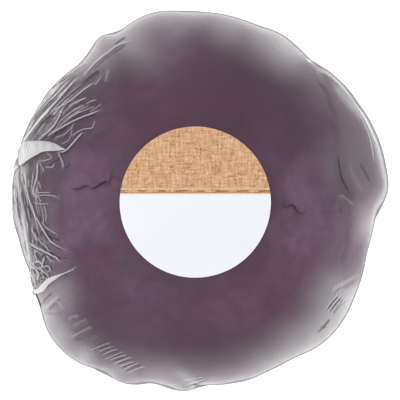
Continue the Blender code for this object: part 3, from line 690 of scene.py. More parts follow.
class Leaf:
    """A wrapper leaf: its midrib's azimuth, the polar angle of its middle, how far it reaches
    from there to its tip, shoulder, side, haunch and foot, and the waves of its edge. Stretches
    of the edge that stand clear are drawn as they are seen from above."""

    def __init__(self, name, azimuth, middle, reach, waves, wave_turn, wave_height, ruffle,
                 drawn=()):
        self.name = name
        self.azimuth = math.radians(azimuth)
        self.reach = np.radians(reach)
        self.waves = waves
        self.wave_turn = math.radians(wave_turn)
        self.wave_height = math.radians(wave_height)
        self.ruffle = np.radians(ruffle)  # turns of the two finest waves
        self.centre = ways(self.azimuth, math.radians(middle))
        self.to_side = np.array((-math.sin(self.azimuth), math.cos(self.azimuth), 0.0))
        self.to_tip = np.cross(self.centre, self.to_side)
        if self.to_tip[2] < 0.0:
            self.to_tip = -self.to_tip
        self.drawn = []
        for points in drawn:
            away, turn = self.away_and_turn(way_seen_at(points))
            order = np.argsort(turn)
            self.drawn.append((turn[order], away[order]))

    def ways(self, away, turn):
        """The ways this far from the leaf's middle."""
        away, turn = np.broadcast_arrays(away, turn)
        aside = np.cos(turn)[..., None] * self.to_tip + np.sin(turn)[..., None] * self.to_side
        return np.cos(away)[..., None] * self.centre + np.sin(away)[..., None] * aside

    def away_and_turn(self, way):
        """How far a way is from the leaf's middle, and on which side of it."""
        away = np.arccos(np.clip(way @ self.centre, -1.0, 1.0))
        return away, np.arctan2(way @ self.to_side, way @ self.to_tip)

    def outline(self, turn):
        """The reach without waves, evened out between tip, shoulder, side, haunch and foot."""
        half = np.abs(np.remainder(turn + math.pi, 2.0 * math.pi) - math.pi)
        reach = np.full(half.shape, self.reach[-1])
        for k in range(len(OUTLINE_TURNS) - 2, -1, -1):
            low, high = OUTLINE_TURNS[k], OUTLINE_TURNS[k + 1]
            share = smooth_step((half - low) / (high - low))
            part = self.reach[k] + (self.reach[k + 1] - self.reach[k]) * share
            reach = np.where(half <= high, part, reach)
        return reach

    def edge(self, turn):
        """The reach with the edge's waves and finer ruffles, which die out at the foot."""
        at_foot = smooth_step((1.0 - np.cos(turn)) / 2.0)
        wave = self.wave_height * np.sin(self.waves * turn + self.wave_turn)
        for (count, height), start in zip(RUFFLES, self.ruffle):
            wave = wave + height * np.sin(count * turn + start)
        reach = self.outline(turn) + wave * (1.0 - at_foot)
        for turns, aways in self.drawn:
            share = between(turn, turns, DRAWN_BLEND)
            reach = reach + (np.interp(turn, turns, aways) - reach) * share
        return reach

    def lifted(self, turn):
        """1 where the edge stands clear, and 0 where the film presses it flat."""
        clear = np.zeros(np.shape(turn))
        for turns, _ in self.drawn:
            clear = np.maximum(clear, between(turn, turns, CLEAR_BLEND))
        return clear

    def line_at(self, way):
        """1 along the edge where it stands clear, fading to either side. The painted shadow line
        under the edge goes here.
        """
        away, turn = self.away_and_turn(way)
        return bell(away - self.edge(turn), CLEAR_LINE) * self.lifted(turn)

    def cover(self, way):
        """1 where the leaf lies and EDGE_ROOM past it, and from there down to 0."""
        away, turn = self.away_and_turn(way)
        return smooth_step((self.edge(turn) + EDGE_ROOM - away) / STEP_UP_WIDTH + 1.0)

    def rib(self, way, height):
        """How far the midrib stands out, up to this height at the foot."""
        away, turn = self.away_and_turn(way)
        off_rib = np.clip((math.pi - np.abs(turn)) / RIB_HALF_TURN, 0.0, 1.0)
        round_top = np.sqrt(np.clip(1.0 - off_rib**2, 0.0, 1.0)) * (1.0 - off_rib)
        return height * (away / self.reach[-1]) ** 2 * round_top

    def rib_room(self, way, height):
        """How far what lies inside this leaf makes way for its midrib."""
        away, turn = self.away_and_turn(way)
        wide = RIB_ROOM_OUTER_TURN - RIB_ROOM_INNER_TURN
        share = smooth_step((RIB_ROOM_OUTER_TURN - math.pi + np.abs(turn)) / wide)
        return (height + RIB_ROOM_EXTRA) * share * (away / self.reach[-1]) ** 2

    def veins(self, way):
        """How strongly the midrib or a side vein shows, from 0 to 1."""
        away, turn = self.away_and_turn(way)
        up, aside = away * np.cos(turn), away * np.sin(turn)
        bow = np.abs(aside - RIB_SWAY * np.sin(5.0 * up + self.wave_turn))
        side = self.side_veins(up, bow, np.where(aside > 0.0, 0.0, 0.5))
        return np.maximum(self.midrib(up, bow), VEIN_SHARE * side)

    def midrib(self, up, bow):
        """1 on the midrib, which grows narrower from foot to tip and ends before it."""
        down = np.clip((0.9 - up) / 1.8, 0.0, 1.0)
        width = RIB_AT_TIP + (RIB_AT_FOOT - RIB_AT_TIP) * down
        return bell(bow, width) * smooth_step((self.reach[0] - up) / 0.3)

    def side_veins(self, up, bow, shift):
        """1 on the side veins, which leave the midrib by turns and climb in a bow."""
        out = bow / VEIN_REACH
        climb = VEIN_CLIMB * bow - VEIN_BOW * bow**2
        sway = RIB_SWAY * np.sin(9.0 * bow + 3.0 * up)
        rank = (up - climb + sway) / VEIN_STEP + shift
        off = np.abs(rank - np.round(rank)) * VEIN_STEP * VEIN_STEEPNESS
        width = VEIN_AT_TIP + (VEIN_AT_RIB - VEIN_AT_TIP) * np.clip(1.0 - out, 0.0, 1.0)
        return bell(off, width) * smooth_step(bow / 0.05) * (1.0 - 0.6 * smooth_step(out))


# From the innermost to the outermost
LEAVES = (
    Leaf("wrapper_leaf_1", 198, 82, (84, 78, 70, 74, 79), 7, 20, 1.4, (10, 70)),
    Leaf("wrapper_leaf_2", 336, 82, (86, 80, 72, 74, 79), 8, 200, 1.4, (90, 20)),
    Leaf("wrapper_leaf_3", 268, 84, (94, 88, 76, 74, 77), 7, 75, 1.4, (45, 130)),
    Leaf("wrapper_leaf_4", 84, 80, (79, 82, 72, 74, 81), 9, 130, 1.6, (200, 40), DRAWN_EDGES),
    Leaf("wrapper_leaf_5", 8, 100, (52, 51, 46, 50, 61), 7, 10, 1.6, (60, 150)),
    Leaf("wrapper_leaf_6", 229, 104, (44, 44, 44, 48, 57), 7, 80, 1.6, (140, 10)),
)
LEAF_MESHES = ((96, 28), (96, 28), (240, 60), (240, 64), (176, 50), (176, 50))  # spokes, rings


def depth_under(outside, way, thickness, rib_height):
    """How far under the film a piece lies that has these leaves outside it."""
    depth = FILM_GAP + looseness(way) + grooves(way) * MM
    for leaf in outside:
        leaf_depth = thickness + LEAF_GAP + leaf.rib_room(way, rib_height)
        depth = depth + leaf_depth * leaf.cover(way)
    return depth


def depth_beneath(index, way, thickness, rib_height):
    """How far under the film the surface lies that this leaf is pressed onto."""
    depth = depth_under(LEAVES, way, thickness, rib_height)
    for k in range(index):
        leaf = LEAVES[k]
        away, turn = leaf.away_and_turn(way)
        share = smooth_step((leaf.edge(turn) - away) / STEP_DOWN_WIDTH + 0.5)
        top = depth_under(LEAVES[k + 1 :], way, thickness, rib_height)
        top = top + leaf.rib_room(way, rib_height)
        depth = depth + (top - depth) * share
    return depth


def new_piece(name, points, faces, finish, attributes=None):
    """An object from points and faces, shaded smooth. Attributes are numbers for each point."""
    mesh = bpy.data.meshes.new(name)
    mesh.from_pydata(np.asarray(points).tolist(), [], faces)
    for key, values in (attributes or {}).items():
        mesh.attributes.new(key, "FLOAT", "POINT").data.foreach_set("value", values)
    mesh.shade_smooth()
    mesh.materials.append(finish)
    made = bpy.data.objects.new(name, mesh)
    bpy.context.scene.collection.objects.link(made)
    return made


def ring_faces(rings, spokes, start=0, flip=False):
    """Faces over a centre point and the rings of points that follow it."""
    spoke = np.arange(spokes)
    after = (spoke + 1) % spokes
    fan = np.stack((np.full(spokes, start), start + 1 + spoke, start + 1 + after), -1)
    inner = start + 1 + np.arange(rings - 1)[:, None] * spokes
    outer = inner + spokes
    quads = np.stack((inner + spoke, outer + spoke, outer + after, inner + after), -1)
    faces = fan.tolist() + quads.reshape(-1, 4).tolist()
    return [face[::-1] for face in faces] if flip else faces


def sheet_faces(rings, spokes):
    """Faces of a sheet with two sides and a rim, from one side's points and then the other's."""
    count = 1 + rings * spokes
    last = count - spokes
    spoke = np.arange(spokes)
    near, far = last + spoke, last + (spoke + 1) % spokes
    rim = np.stack((near, count + near, count + far, far), -1).tolist()
    return ring_faces(rings, spokes) + ring_faces(rings, spokes, count, flip=True) + rim


def grid_faces(rows, columns, start=0):
    """Faces of an open grid of points."""
    row = start + np.arange(rows - 1)[:, None] * columns
    corner = row + np.arange(columns - 1)
    quads = np.stack((corner, corner + columns, corner + columns + 1, corner + 1), -1)
    return quads.reshape(-1, 4).tolist()


class Field:
    """A number that varies over a surface, as the output socket of a shader node."""

    def __init__(self, finish, socket):
        self.finish = finish
        self.socket = socket

    def _math(self, operation, *values):
        settings = {"operation": operation}
        node = self.finish.node("ShaderNodeMath", settings, dict(enumerate(values)))
        return Field(self.finish, node.outputs[0])

    def __add__(self, other):
        return self._math("ADD", self, other)

    def __radd__(self, other):
        return self._math("ADD", other, self)

    def __sub__(self, other):
        return self._math("SUBTRACT", self, other)

    def __rsub__(self, other):
        return self._math("SUBTRACT", other, self)

    def __mul__(self, other):
        return self._math("MULTIPLY", self, other)

    def __rmul__(self, other):
        return self._math("MULTIPLY", other, self)

    def __truediv__(self, other):
        return self._math("DIVIDE", self, other)

    def __rtruediv__(self, other):
        return self._math("DIVIDE", other, self)

    def __pow__(self, other):
        return self._math("POWER", self, other)

    def __rpow__(self, other):
        return self._math("POWER", other, self)

    def __abs__(self):
        return self._math("ABSOLUTE", self)

    def fraction(self):
        """What is left past the whole number below."""
        return self._math("FRACT", self)

    def at_most(self, other):
        """The lesser of the two."""
        return self._math("MINIMUM", self, other)

    def at_least(self, other):
        """The greater of the two."""
        return self._math("MAXIMUM", self, other)

    def rise(self, low, high):
        """0 below low, 1 above high, and an even rise between them."""
        settings = {"interpolation_type": "SMOOTHSTEP"}
        sockets = {"Value": self, "From Min": low, "From Max": high}
        node = self.finish.node("ShaderNodeMapRange", settings, sockets)
        return Field(self.finish, node.outputs["Result"])


class Finish:
    """A material whose nodes are made in code."""

    def __init__(self, name):
        self.material = bpy.data.materials.new(name)
        self.material.use_nodes = True
        self.tree = self.material.node_tree
        self.tree.nodes.clear()
        self.where = self.node("ShaderNodeTexCoord").outputs["Object"]

    def node(self, kind, settings=None, sockets=None):
        """A node of this kind, its settings made first, then its sockets' values or links."""
        made = self.tree.nodes.new(kind)
        for key, value in (settings or {}).items():
            setattr(made, key, value)
        for key, value in (sockets or {}).items():
            if isinstance(value, Field):
                value = value.socket
            if isinstance(value, bpy.types.NodeSocket):
                self.tree.links.new(value, made.inputs[key])
            else:
                made.inputs[key].default_value = value
        return made

    def noise(self, size, detail=2.0, roughness=0.5, distortion=0.0, where=None):
        """Clouds of about this size in metres, from 0 to 1."""
        sockets = {
            "Vector": where or self.where,
            "Scale": 1.0 / size,
            "Detail": detail,
            "Roughness": roughness,
            "Distortion": distortion,
        }
        node = self.node("ShaderNodeTexNoise", None, sockets)
        return Field(self, node.outputs["Fac"])

    def attribute(self, name):
        """A number that the piece's points carry."""
        node = self.node("ShaderNodeAttribute", {"attribute_name": name})
        return Field(self, node.outputs["Fac"])

    def axes(self):
        """The x, y and z of the place, in metres."""
        node = self.node("ShaderNodeSeparateXYZ", None, {0: self.where})
        return [Field(self, socket) for socket in node.outputs]

    def facing(self):
        """0 where the surface is seen straight on, up to 1 at a grazing angle."""
        node = self.node("ShaderNodeLayerWeight", None, {"Blend": 0.5})
        return Field(self, node.outputs["Facing"])

    def blend(self, share, first, second):
        """A colour between two others."""
        sockets = {0: share, 6: first, 7: second}
        return self.node("ShaderNodeMix", {"data_type": "RGBA"}, sockets).outputs[2]

    def bump(self, height, strength, depth):
        """Fine relief, this deep in metres where its height is 1."""
        sockets = {"Height": height, "Strength": strength, "Distance": depth}
        return self.node("ShaderNodeBump", None, sockets).outputs["Normal"]

    def surface(self, **sockets):
        """A Principled surface with these sockets, named with _ for a space."""
        named = {key.replace("_", " "): value for key, value in sockets.items()}
        return self.node("ShaderNodeBsdfPrincipled", None, named).outputs[0]

    def done(self, surface):
        """The material, with this surface as its output."""
        self.node("ShaderNodeOutputMaterial", None, {"Surface": surface})
        return self.material


def colour(name, description, red, green, blue):
    """A colour that a user may change."""
    return FloatVectorProperty(
        name=name, description=description, subtype="COLOR", size=4, default=(red, green, blue, 1.0)
    )


def dimension(name, description, default):
    """A size that a user may change."""
    return FloatProperty(name=name, description=description, default=default, unit="LENGTH")


def amount(name, description, default):
    """A share from 0 to 1 that a user may change."""
    return FloatProperty(
        name=name, description=description, default=default, min=0.0, max=1.0, subtype="FACTOR"
    )


class LeafSettings(PropertyGroup):
    """The wrapper leaves."""

    thickness: dimension("Thickness", "Of a leaf's blade", 0.55 * MM)
    rib_height: dimension("Midrib height", "At the leaf's foot", 2.2 * MM)
    vein_height: dimension("Vein height", "Of the raised veins", 0.35 * MM)
    skin: colour("Skin", "The leaf's main colour", 0.055, 0.0240, 0.044)
    blush: colour("Blush", "Its redder patches", 0.060, 0.0220, 0.036)
    # The wax bloom, also used for painted sheen of the film over the leaves
    bloom_and_sheen: colour("Bloom", "The pale wax on it", 0.148, 0.090, 0.141)
    deep: colour("Deep", "Its darker mottling", 0.050, 0.0260, 0.044)
    flush: colour("Flush", "Its red flecks", 0.100, 0.028, 0.058)
    vein: colour("Vein", "The veins' colour", 0.20, 0.075, 0.145)
    # Painted shadow: the dark line under an edge that stands clear, and the shade in pressed-in
    # grooves
    painted_shadow: colour("Crease", "Under an edge, and where it is pressed in", 0.014, 0.008, 0.012)


class StalkSettings(PropertyGroup):
    """The cut stalk."""

    flesh: colour("Flesh", "The cut face's colour", 0.66, 0.56, 0.38)
    rind: colour("Rind", "The stalk's side", 0.46, 0.30, 0.30)
    grain: colour("Grain", "The flesh's darker grain", 0.48, 0.34, 0.17)
    strand: colour("Strand", "The ring of strands in the cut face", 0.36, 0.22, 0.12)


class FilmSettings(PropertyGroup):
    """The clear film and its folds."""

    haze: FloatProperty(
        name="Haze", description="How milky the film is, seen straight on", default=-0.02,
        min=-0.1, max=1.0,
    )
    rim: amount("Rim", "How white it turns where it is seen edge on", 0.95)
    line: amount("Line", "How strong the thin line round its outline is", 0.85)
    # Fold paints a highlight along crests; furrow paints shade in furrows, on lee sides and in the
    # net's holes
    fold: amount("Fold", "How much whiter a fold's crest is", 0.85)
    furrow: amount("Furrow", "How much darker a fold's lee side is", 0.80)
    doubling: amount("Doubling", "How milky it is where it is tucked over itself", 0.76)
    pleats: IntProperty(name="Pleats", description="Round the mouth underneath", default=46)
    white: colour("White", "The colour of its haze", 0.58, 0.565, 0.585)
    doubled: colour("Doubled", "Where it is tucked over itself", 0.56, 0.555, 0.56)
    edge: colour("Edge", "The thin line round its outline", 0.210, 0.205, 0.215)
    loose: colour("Loose", "Where it stands off the leaves", 0.34, 0.335, 0.345)
    shadow: colour("Shadow", "In its furrows", 0.016, 0.009, 0.014)


class LabelSettings(PropertyGroup):
    """The paper label."""

    thickness: dimension("Thickness", "Of the paper", 0.14 * MM)
    band_edge: dimension("Band edge", "Where the woven band ends, along Y", 3.4 * MM)
    thread: dimension("Thread", "From one thread of the band to the next", 0.85 * MM)
    paper: colour("Paper", "The bare paper", 0.775, 0.792, 0.834)
    sacking: colour("Sacking", "The band's threads", 0.62, 0.35, 0.185)
    thread_shade: colour("Shaded thread", "Its darker threads", 0.51, 0.28, 0.15)
    thread_light: colour("Light thread", "Its palest threads", 0.80, 0.57, 0.37)
    gaps: colour("Gaps", "Between its threads", 0.19, 0.085, 0.040)
    stitch: colour("Stitch", "The seam's dashes", 0.10, 0.045, 0.022)


class StageSettings(PropertyGroup):
    """The floor and the light."""

    sky: FloatProperty(name="Sky", description="Light from all round", default=0.95)
    floor_glow: FloatProperty(
        name="Floor glow", description="How far the floor is lit from behind", default=0.62
    )
    panel_power: FloatProperty(
        name="Panels", description="Of each large soft lamp", default=5.0, unit="POWER"
    )
    floor: colour("Floor", "The floor's colour", 0.86, 0.86, 0.86)


# What each group of settings is called in the scene
SETTINGS = {
    "cabbage_leaves": LeafSettings,
    "cabbage_stalk": StalkSettings,
    "cabbage_film": FilmSettings,
    "cabbage_label": LabelSettings,
    "cabbage_stage": StageSettings,
}


def leaf_finish(name, settings):
    """Dark purple skin with redder patches. Its veins are pale low down and faint above."""
    finish = Finish(name)
    patches, mottle, flush, wax = (
        finish.noise(*cloud[:4]).rise(*cloud[4:]) for cloud in SKIN_CLOUDS.values()
    )
    speckle = finish.noise(1.4 * MM, 3.0, 0.6)
    low = 1.0 - finish.axes()[2].rise(*UNDERSIDE)
    vein = finish.attribute("vein") * (0.03 + 0.69 * low)
    pale = finish.attribute("pale") * (0.6 + 0.8 * wax)
    shade = finish.blend(patches, settings.skin, settings.blush)
    # Bloom: the wax, and partly painted sheen where the leaves are paler
    shade = finish.blend((pale + wax * 0.12).at_most(1.0), shade, settings.bloom_and_sheen)
    shade = finish.blend(mottle * 0.55, shade, settings.deep)
    shade = finish.blend(flush * 0.40 + finish.attribute("red"), shade, settings.flush)
    shade = finish.blend(vein, shade, settings.vein)
    # Painted shadow under clear edges, and painted shade in grooves
    shade = finish.blend(finish.attribute("dark"), shade, settings.painted_shadow)
    surface = finish.surface(
        Base_Color=shade,
        Roughness=0.46 + 0.2 * wax,
        Specular_IOR_Level=0.28,
        Normal=finish.bump(speckle * low, 0.3, 0.10 * MM),
    )
    return finish.done(surface)


def inner_leaf_finish(settings):
    """The closed inner leaves, paler where they are cut short round the stalk."""
    finish = Finish("inner_leaves")
    streak = finish.noise(6.0 * MM, 3.0, 0.6, 1.5)
    pale = 1.0 - finish.axes()[2].rise(10.0 * MM, 30.0 * MM)
    shade = finish.blend(streak.rise(0.35, 0.7), settings.skin, settings.blush)
    shade = finish.blend(pale * 0.6, shade, settings.vein)
    surface = finish.surface(
        Base_Color=shade, Roughness=0.45, Normal=finish.bump(streak, 0.4, 0.4 * MM)
    )
    return finish.done(surface)


def stalk_finish(settings):
    """Cream flesh with a ring of strands in the cut face, and a purplish rind."""
    finish = Finish("stalk_flesh")
    x, y, z = finish.axes()
    across = (x * x + y * y) ** 0.5
    grain = finish.noise(1.2 * MM, 4.0, 0.65)
    blotch = finish.noise(9.0 * MM, 3.0, 0.5, 0.5)
    strands = finish.noise(2.2 * MM).rise(0.52, 0.68)
    ring = across.rise(9.5 * MM, 10.5 * MM) * (1.0 - across.rise(12.5 * MM, 13.5 * MM))
    cut = 1.0 - z.rise(0.6 * MM, 1.6 * MM)
    flesh = finish.blend(0.30 * blotch + 0.20 * grain, settings.flesh, settings.grain)
    flesh = finish.blend(ring * strands * 0.6, flesh, settings.strand)
    rind = finish.blend(blotch.rise(0.35, 0.7), settings.rind, settings.flesh)
    surface = finish.surface(
        Base_Color=finish.blend(cut, rind, flesh),
        Roughness=0.55 + 0.2 * grain,
        Normal=finish.bump(grain + strands * ring, 0.5, 0.25 * MM),
    )
    return finish.done(surface)


def film_finish(name, settings, body, white):
    """Clear film: mostly see-through, and whiter at folds and where it is seen edge on. The white
    along fold crests is a painted highlight, and the dark of furrows and lee sides is painted
    shade. The line is the dark rim that shows where it is seen most nearly edge on."""
    finish = Finish(name)
    facing = finish.facing()
    cloud = finish.noise(30.0 * MM, 3.0, 0.5, 0.5)
    # Milky patches: the film's haze, and partly painted reflection of the lamps
    milk_and_reflection = finish.attribute("milk_and_reflection") * (0.5 + cloud)
    # Painted highlight along fold crests, and painted shade in furrows
    fold = finish.attribute("fold") * settings.fold
    furrow = finish.attribute("furrow") * settings.furrow
    rim = settings.rim * facing**3.0 * (0.75 + 0.5 * cloud)
    loose = finish.attribute("loose")
    line = facing.rise(0.80, 0.92)
    share = body + milk_and_reflection + fold + rim * (1.0 - finish.attribute("cling")) + line * settings.line
    share = share + loose * facing.rise(0.66, 0.80) * 0.45
    tone = finish.blend(loose * 0.8, white, settings.loose)
    tone = finish.blend(line, tone, settings.edge)
    tone = finish.blend((furrow * 4.0 - fold).at_least(0.0).at_most(1.0), tone, settings.shadow)
    crinkle = finish.noise(4.0 * MM, 2.0, 0.5, 1.0)
    sheen = finish.surface(
        Base_Color=tone,
        Roughness=0.25 + 0.7 * line,
        Specular_IOR_Level=0.35,
        Normal=finish.bump(crinkle, 0.10, 0.20 * MM),
    )
    clear = finish.node("ShaderNodeBsdfTransparent").outputs[0]
    share = (share.at_least(0.0) + furrow).at_most(0.97)
    mixed = finish.node("ShaderNodeMixShader", None, {0: share, 1: clear, 2: sheen})
    return finish.done(mixed.outputs[0])


def label_finish(settings):
    """Paper with a band of woven sacking at the top, stitched along its straight edge."""
    finish = Finish("label_paper")
    x, y = finish.axes()[:2]
    edge, step = settings.band_edge, settings.thread
    warp = streaks(finish, (1.0 / step, 0.16 / step, 0.0))
    weft = streaks(finish, (0.16 / step, 1.1 / step, 0.0))
    tint = finish.noise(12.0 * MM)
    sacking = sacking_shade(finish, settings, warp, weft, tint)
    # Painted highlight: a paler line along the ridge above the seam
    ridge_highlight = strip(y, edge + 1.9 * MM, 0.10 * MM, 0.50 * MM)
    sacking = finish.blend(ridge_highlight * 0.35, sacking, settings.thread_light)
    drift = finish.noise(5.0 * MM)
    seam = strip(y + drift * (0.5 * MM), edge + 1.25 * MM, 0.10 * MM, 0.38 * MM)
    dash = ((x + drift * (6.0 * MM)) / (8.2 * MM)).fraction()
    dash = dash.rise(0.40, 0.50) * (1.0 - dash.rise(0.90, 1.0)) * (0.4 + 1.2 * tint)
    sacking = finish.blend(seam * dash * 0.8, sacking, settings.stitch)
    hem = strip(y, edge + 0.25 * MM, 0.10 * MM, 0.35 * MM)
    sacking = finish.blend(hem * 0.5, sacking, settings.gaps)
    glow = strip(y, edge - 0.35 * MM, 0.10 * MM, 0.50 * MM)
    paper = finish.blend(glow * 0.35, settings.paper, settings.thread_light)
    band = y.rise(edge - 0.05 * MM, edge + 0.05 * MM)
    fibre = finish.noise(0.8 * MM, 3.0, 0.6)
    surface = finish.surface(
        Base_Color=finish.blend(band, paper, sacking),
        Roughness=0.45 + 0.15 * band,
        Specular_IOR_Level=0.3,
        Normal=finish.bump(fibre * 0.3 + (warp + weft) * band * 0.35, 0.3, 0.08 * MM),
    )
    return finish.done(surface)


def sacking_shade(finish, settings, warp, weft, tint):
    """The woven band: its threads, light where they lie on top, and the dark gaps."""
    knots = finish.noise(0.75 * settings.thread)
    light = (warp * 0.5 + weft * 0.5 + knots * 0.5).rise(0.72, 0.98)
    deep = 1.0 - (warp * 0.45 + weft * 0.45 + knots * 0.6).rise(0.50, 0.74)
    shade = finish.blend(tint, settings.sacking, settings.thread_shade)
    shade = finish.blend(light * 0.75, shade, settings.thread_light)
    return finish.blend(deep * 0.9, shade, settings.gaps)


def strip(y, middle, near, far):
    """1 along a line across the label and this near to it, down to 0 this far from it."""
    return 1.0 - abs(y - middle).rise(near, far)


def streaks(finish, scales):
    """Noise drawn out along one axis, for threads."""
    mapping = finish.node("ShaderNodeMapping", None, {"Vector": finish.where, "Scale": scales})
    return finish.noise(1.0, where=mapping.outputs[0])


def dress(piece, slot, *nodes):
    """The piece moves with the head and stands for these nodes. The slot is not used."""
    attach(piece, "root")
    if nodes:
        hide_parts(*nodes)


class CABBAGE_OT_leaves(Operator):
    """Make the six wrapper leaves, with veins, midribs and waved edges"""

    bl_idname = "cabbage.leaves"
    bl_label = "Wrapper leaves"

    def execute(self, context):
        for index in range(len(LEAVES)):
            self.make_leaf(index, context.scene.cabbage_leaves)
        return {"FINISHED"}

    def make_leaf(self, index, settings):
        """One leaf, which thins towards its edge."""
        leaf = LEAVES[index]
        way, spokes, rings = self.mesh_ways(leaf, *LEAF_MESHES[index])
        away, turn = leaf.away_and_turn(way)
        clear = leaf.lifted(turn)
        thin = 1.0 - smooth_step((leaf.edge(turn) - away) / (EDGE_TAPER * (2.0 - clear)))
        veins = leaf.veins(way) * (1.0 - thin)
        outer, inner = self.sides(index, way, thin, clear, veins, settings)
        points = np.vstack((place(way, outer), place(way, inner)))
        marks = {"vein": np.append(veins, 0.4 * veins)}
        # The dark mark is painted shadow under clear edges and painted shade in grooves
        marks["dark"] = np.tile(self.painted_shade_at(index, way), 2)
        # Paleness is partly wax bloom and partly painted sheen of the film
        marks["pale"] = np.tile(pale_and_sheen_at(way), 2)
        marks["red"] = np.tile(patches_at(way, RED_PATCHES), 2)
        finish = leaf_finish(leaf.name + "_skin", settings)
        piece = new_piece(leaf.name + "_blade", points, sheet_faces(rings, spokes), finish, marks)
        dress(piece, "leaf", leaf.name)

    def mesh_ways(self, leaf, spokes, rings):
        """The ways to one side's points, with the count of spokes and rings. Spokes are closer
        where the edge stands clear, and rings are closer at the edge."""
        turn = np.linspace(-math.pi, math.pi, spokes, endpoint=False)
        for turns, _ in leaf.drawn:
            low, high = turns[0] - DRAWN_MARGIN, turns[-1] + DRAWN_MARGIN
            turn = np.union1d(turn, np.linspace(low, high, DRAWN_SPOKES))
        share = np.concatenate((np.linspace(0.0, 0.968, rings)[1:], EDGE_RINGS))[:, None]
        way = np.vstack((leaf.centre, leaf.ways(leaf.edge(turn) * share, turn).reshape(-1, 3)))
        return way, len(turn), len(share)

    def sides(self, index, way, thin, clear, veins, settings):
        """How far the leaf's two sides are from the head's middle. Its edge is pressed onto what
        lies beneath, except where it stands clear."""
        leaf = LEAVES[index]
        sizes = (way, settings.thickness, settings.rib_height)
        depth = depth_under(LEAVES[index + 1 :], *sizes) + leaf.rib_room(way, settings.rib_height)
        pressed = thin * (1.0 - clear)
        drop = (depth_beneath(index, *sizes) - depth + PRESSED_PAST) * pressed
        flat = film_radius(way) - depth - drop
        relief = settings.vein_height * veins * (1.0 - 0.9 * risen(way, -0.4, 0.6))
        outer = flat + leaf.rib(way, settings.rib_height) + relief
        inner = flat - settings.thickness * (1.0 - 0.55 * thin * clear - 0.8 * pressed)
        return outer, inner

    def painted_shade_at(self, index, way):
        """The painted shade in grooves and the painted shadow line under clear edges, the leaf's
        own and those of the leaves over it.
        """
        dark = 0.22 * np.clip(grooves(way), 0.0, 1.0)
        for leaf in LEAVES[index:]:
            dark = np.maximum(dark, 0.50 * leaf.line_at(way))
        return dark


class CABBAGE_OT_inner_head(Operator):
    """Give the closed inner leaves their finish"""

    bl_idname = "cabbage.inner_head"
    bl_label = "Inner head"

    def execute(self, context):
        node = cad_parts["inner_head"]
        node.data.materials.clear()
        node.data.materials.append(inner_leaf_finish(context.scene.cabbage_leaves))
        return {"FINISHED"}


class CABBAGE_OT_stalk(Operator):
    """Make the cut stalk that the head stands on"""

    bl_idname = "cabbage.stalk"
    bl_label = "Stalk"

    def execute(self, context):
        widest = (STALK_HIGH.x - STALK_LOW.x) / 2.0
        turn = np.arange(STALK_SPOKES) * 2.0 * math.pi / STALK_SPOKES
        rim = STALK_SIDE[0][0]
        face = [(rim * k / STALK_FACE_RINGS, 0.0) for k in range(1, STALK_FACE_RINGS)]
        rings = []
        for across, up in (*face, *STALK_SIDE):
            waves = sum(depth * (1.0 + np.sin(count * turn + start + twist * up))
                        for count, depth, start, twist in STALK_WAVES)
            radius = widest * across * (1.0 - waves * across)
            height = np.full(STALK_SPOKES, STALK_HIGH.z * up)
            rings.append(np.stack((radius * np.cos(turn), radius * np.sin(turn), height), -1))
        points = np.vstack(((0.0, 0.0, 0.0), *rings))
        faces = ring_faces(len(rings), STALK_SPOKES, flip=True)
        faces.append(list(range(len(points) - STALK_SPOKES, len(points))))
        finish = stalk_finish(context.scene.cabbage_stalk)
        dress(new_piece("cut_stalk", points, faces, finish), "stalk", "stalk")
        return {"FINISHED"}


def drawn_folds():
    """Every fold of the film, as (half width, height, route)."""
    draw = np.random.default_rng(7)
    folds = [(width, high, smooth_route(points)) for width, high, points in FOLDS]
    return [*folds, *folds_in_rows(draw), *folds_in_fans(draw)]


def folds_in_rows(draw):
    """The folds of each row, which differ a little in lean, length and bend."""
    for width, high, first, last, count, length, tilt in FOLD_ROWS:
        for share in np.linspace(0.0, 1.0, count):
            lean = math.radians(tilt + draw.normal(0.0, 2.0))
            run = np.array((math.cos(lean), math.sin(lean))) * length * draw.uniform(0.85, 1.15)
            middle = np.array(first) + (np.array(last) - first) * share
            middle = middle + draw.normal(0.0, 0.15, 2)
            bend = np.array((-run[1], run[0])) * draw.normal(0.02, 0.02)
            yield width, high, smooth_route((middle - run / 2, middle + bend, middle + run / 2))


def folds_in_fans(draw):
    """The folds of each fan, each a wavering piece of the way from one end to the other."""
    for width, high, near, far, count, bow in FOLD_FANS:
        near, far = np.array(near), np.array(far)
        for k in range(count):
            share = (k + draw.uniform(0.2, 0.8)) / count
            start = near[0] + (near[1] - near[0]) * share
            end = far[0] + (far[1] - far[0]) * np.clip(share + draw.normal(0.0, 0.06), 0, 1)
            run = end - start
            aside = np.array((-run[1], run[0])) / np.linalg.norm(run)
            low = draw.uniform(0.0, 0.45)
            steps = np.linspace(low, min(1.0, low + draw.uniform(0.3, 0.65)), 5)[:, None]
            wobble = draw.normal(0.0, 0.25, (5, 1))
            route = start + run * steps + aside * (bow * 4 * steps * (1 - steps) + wobble)
            scale = draw.uniform(0.7, 1.3)
            yield width * scale, high * scale, smooth_route(route)


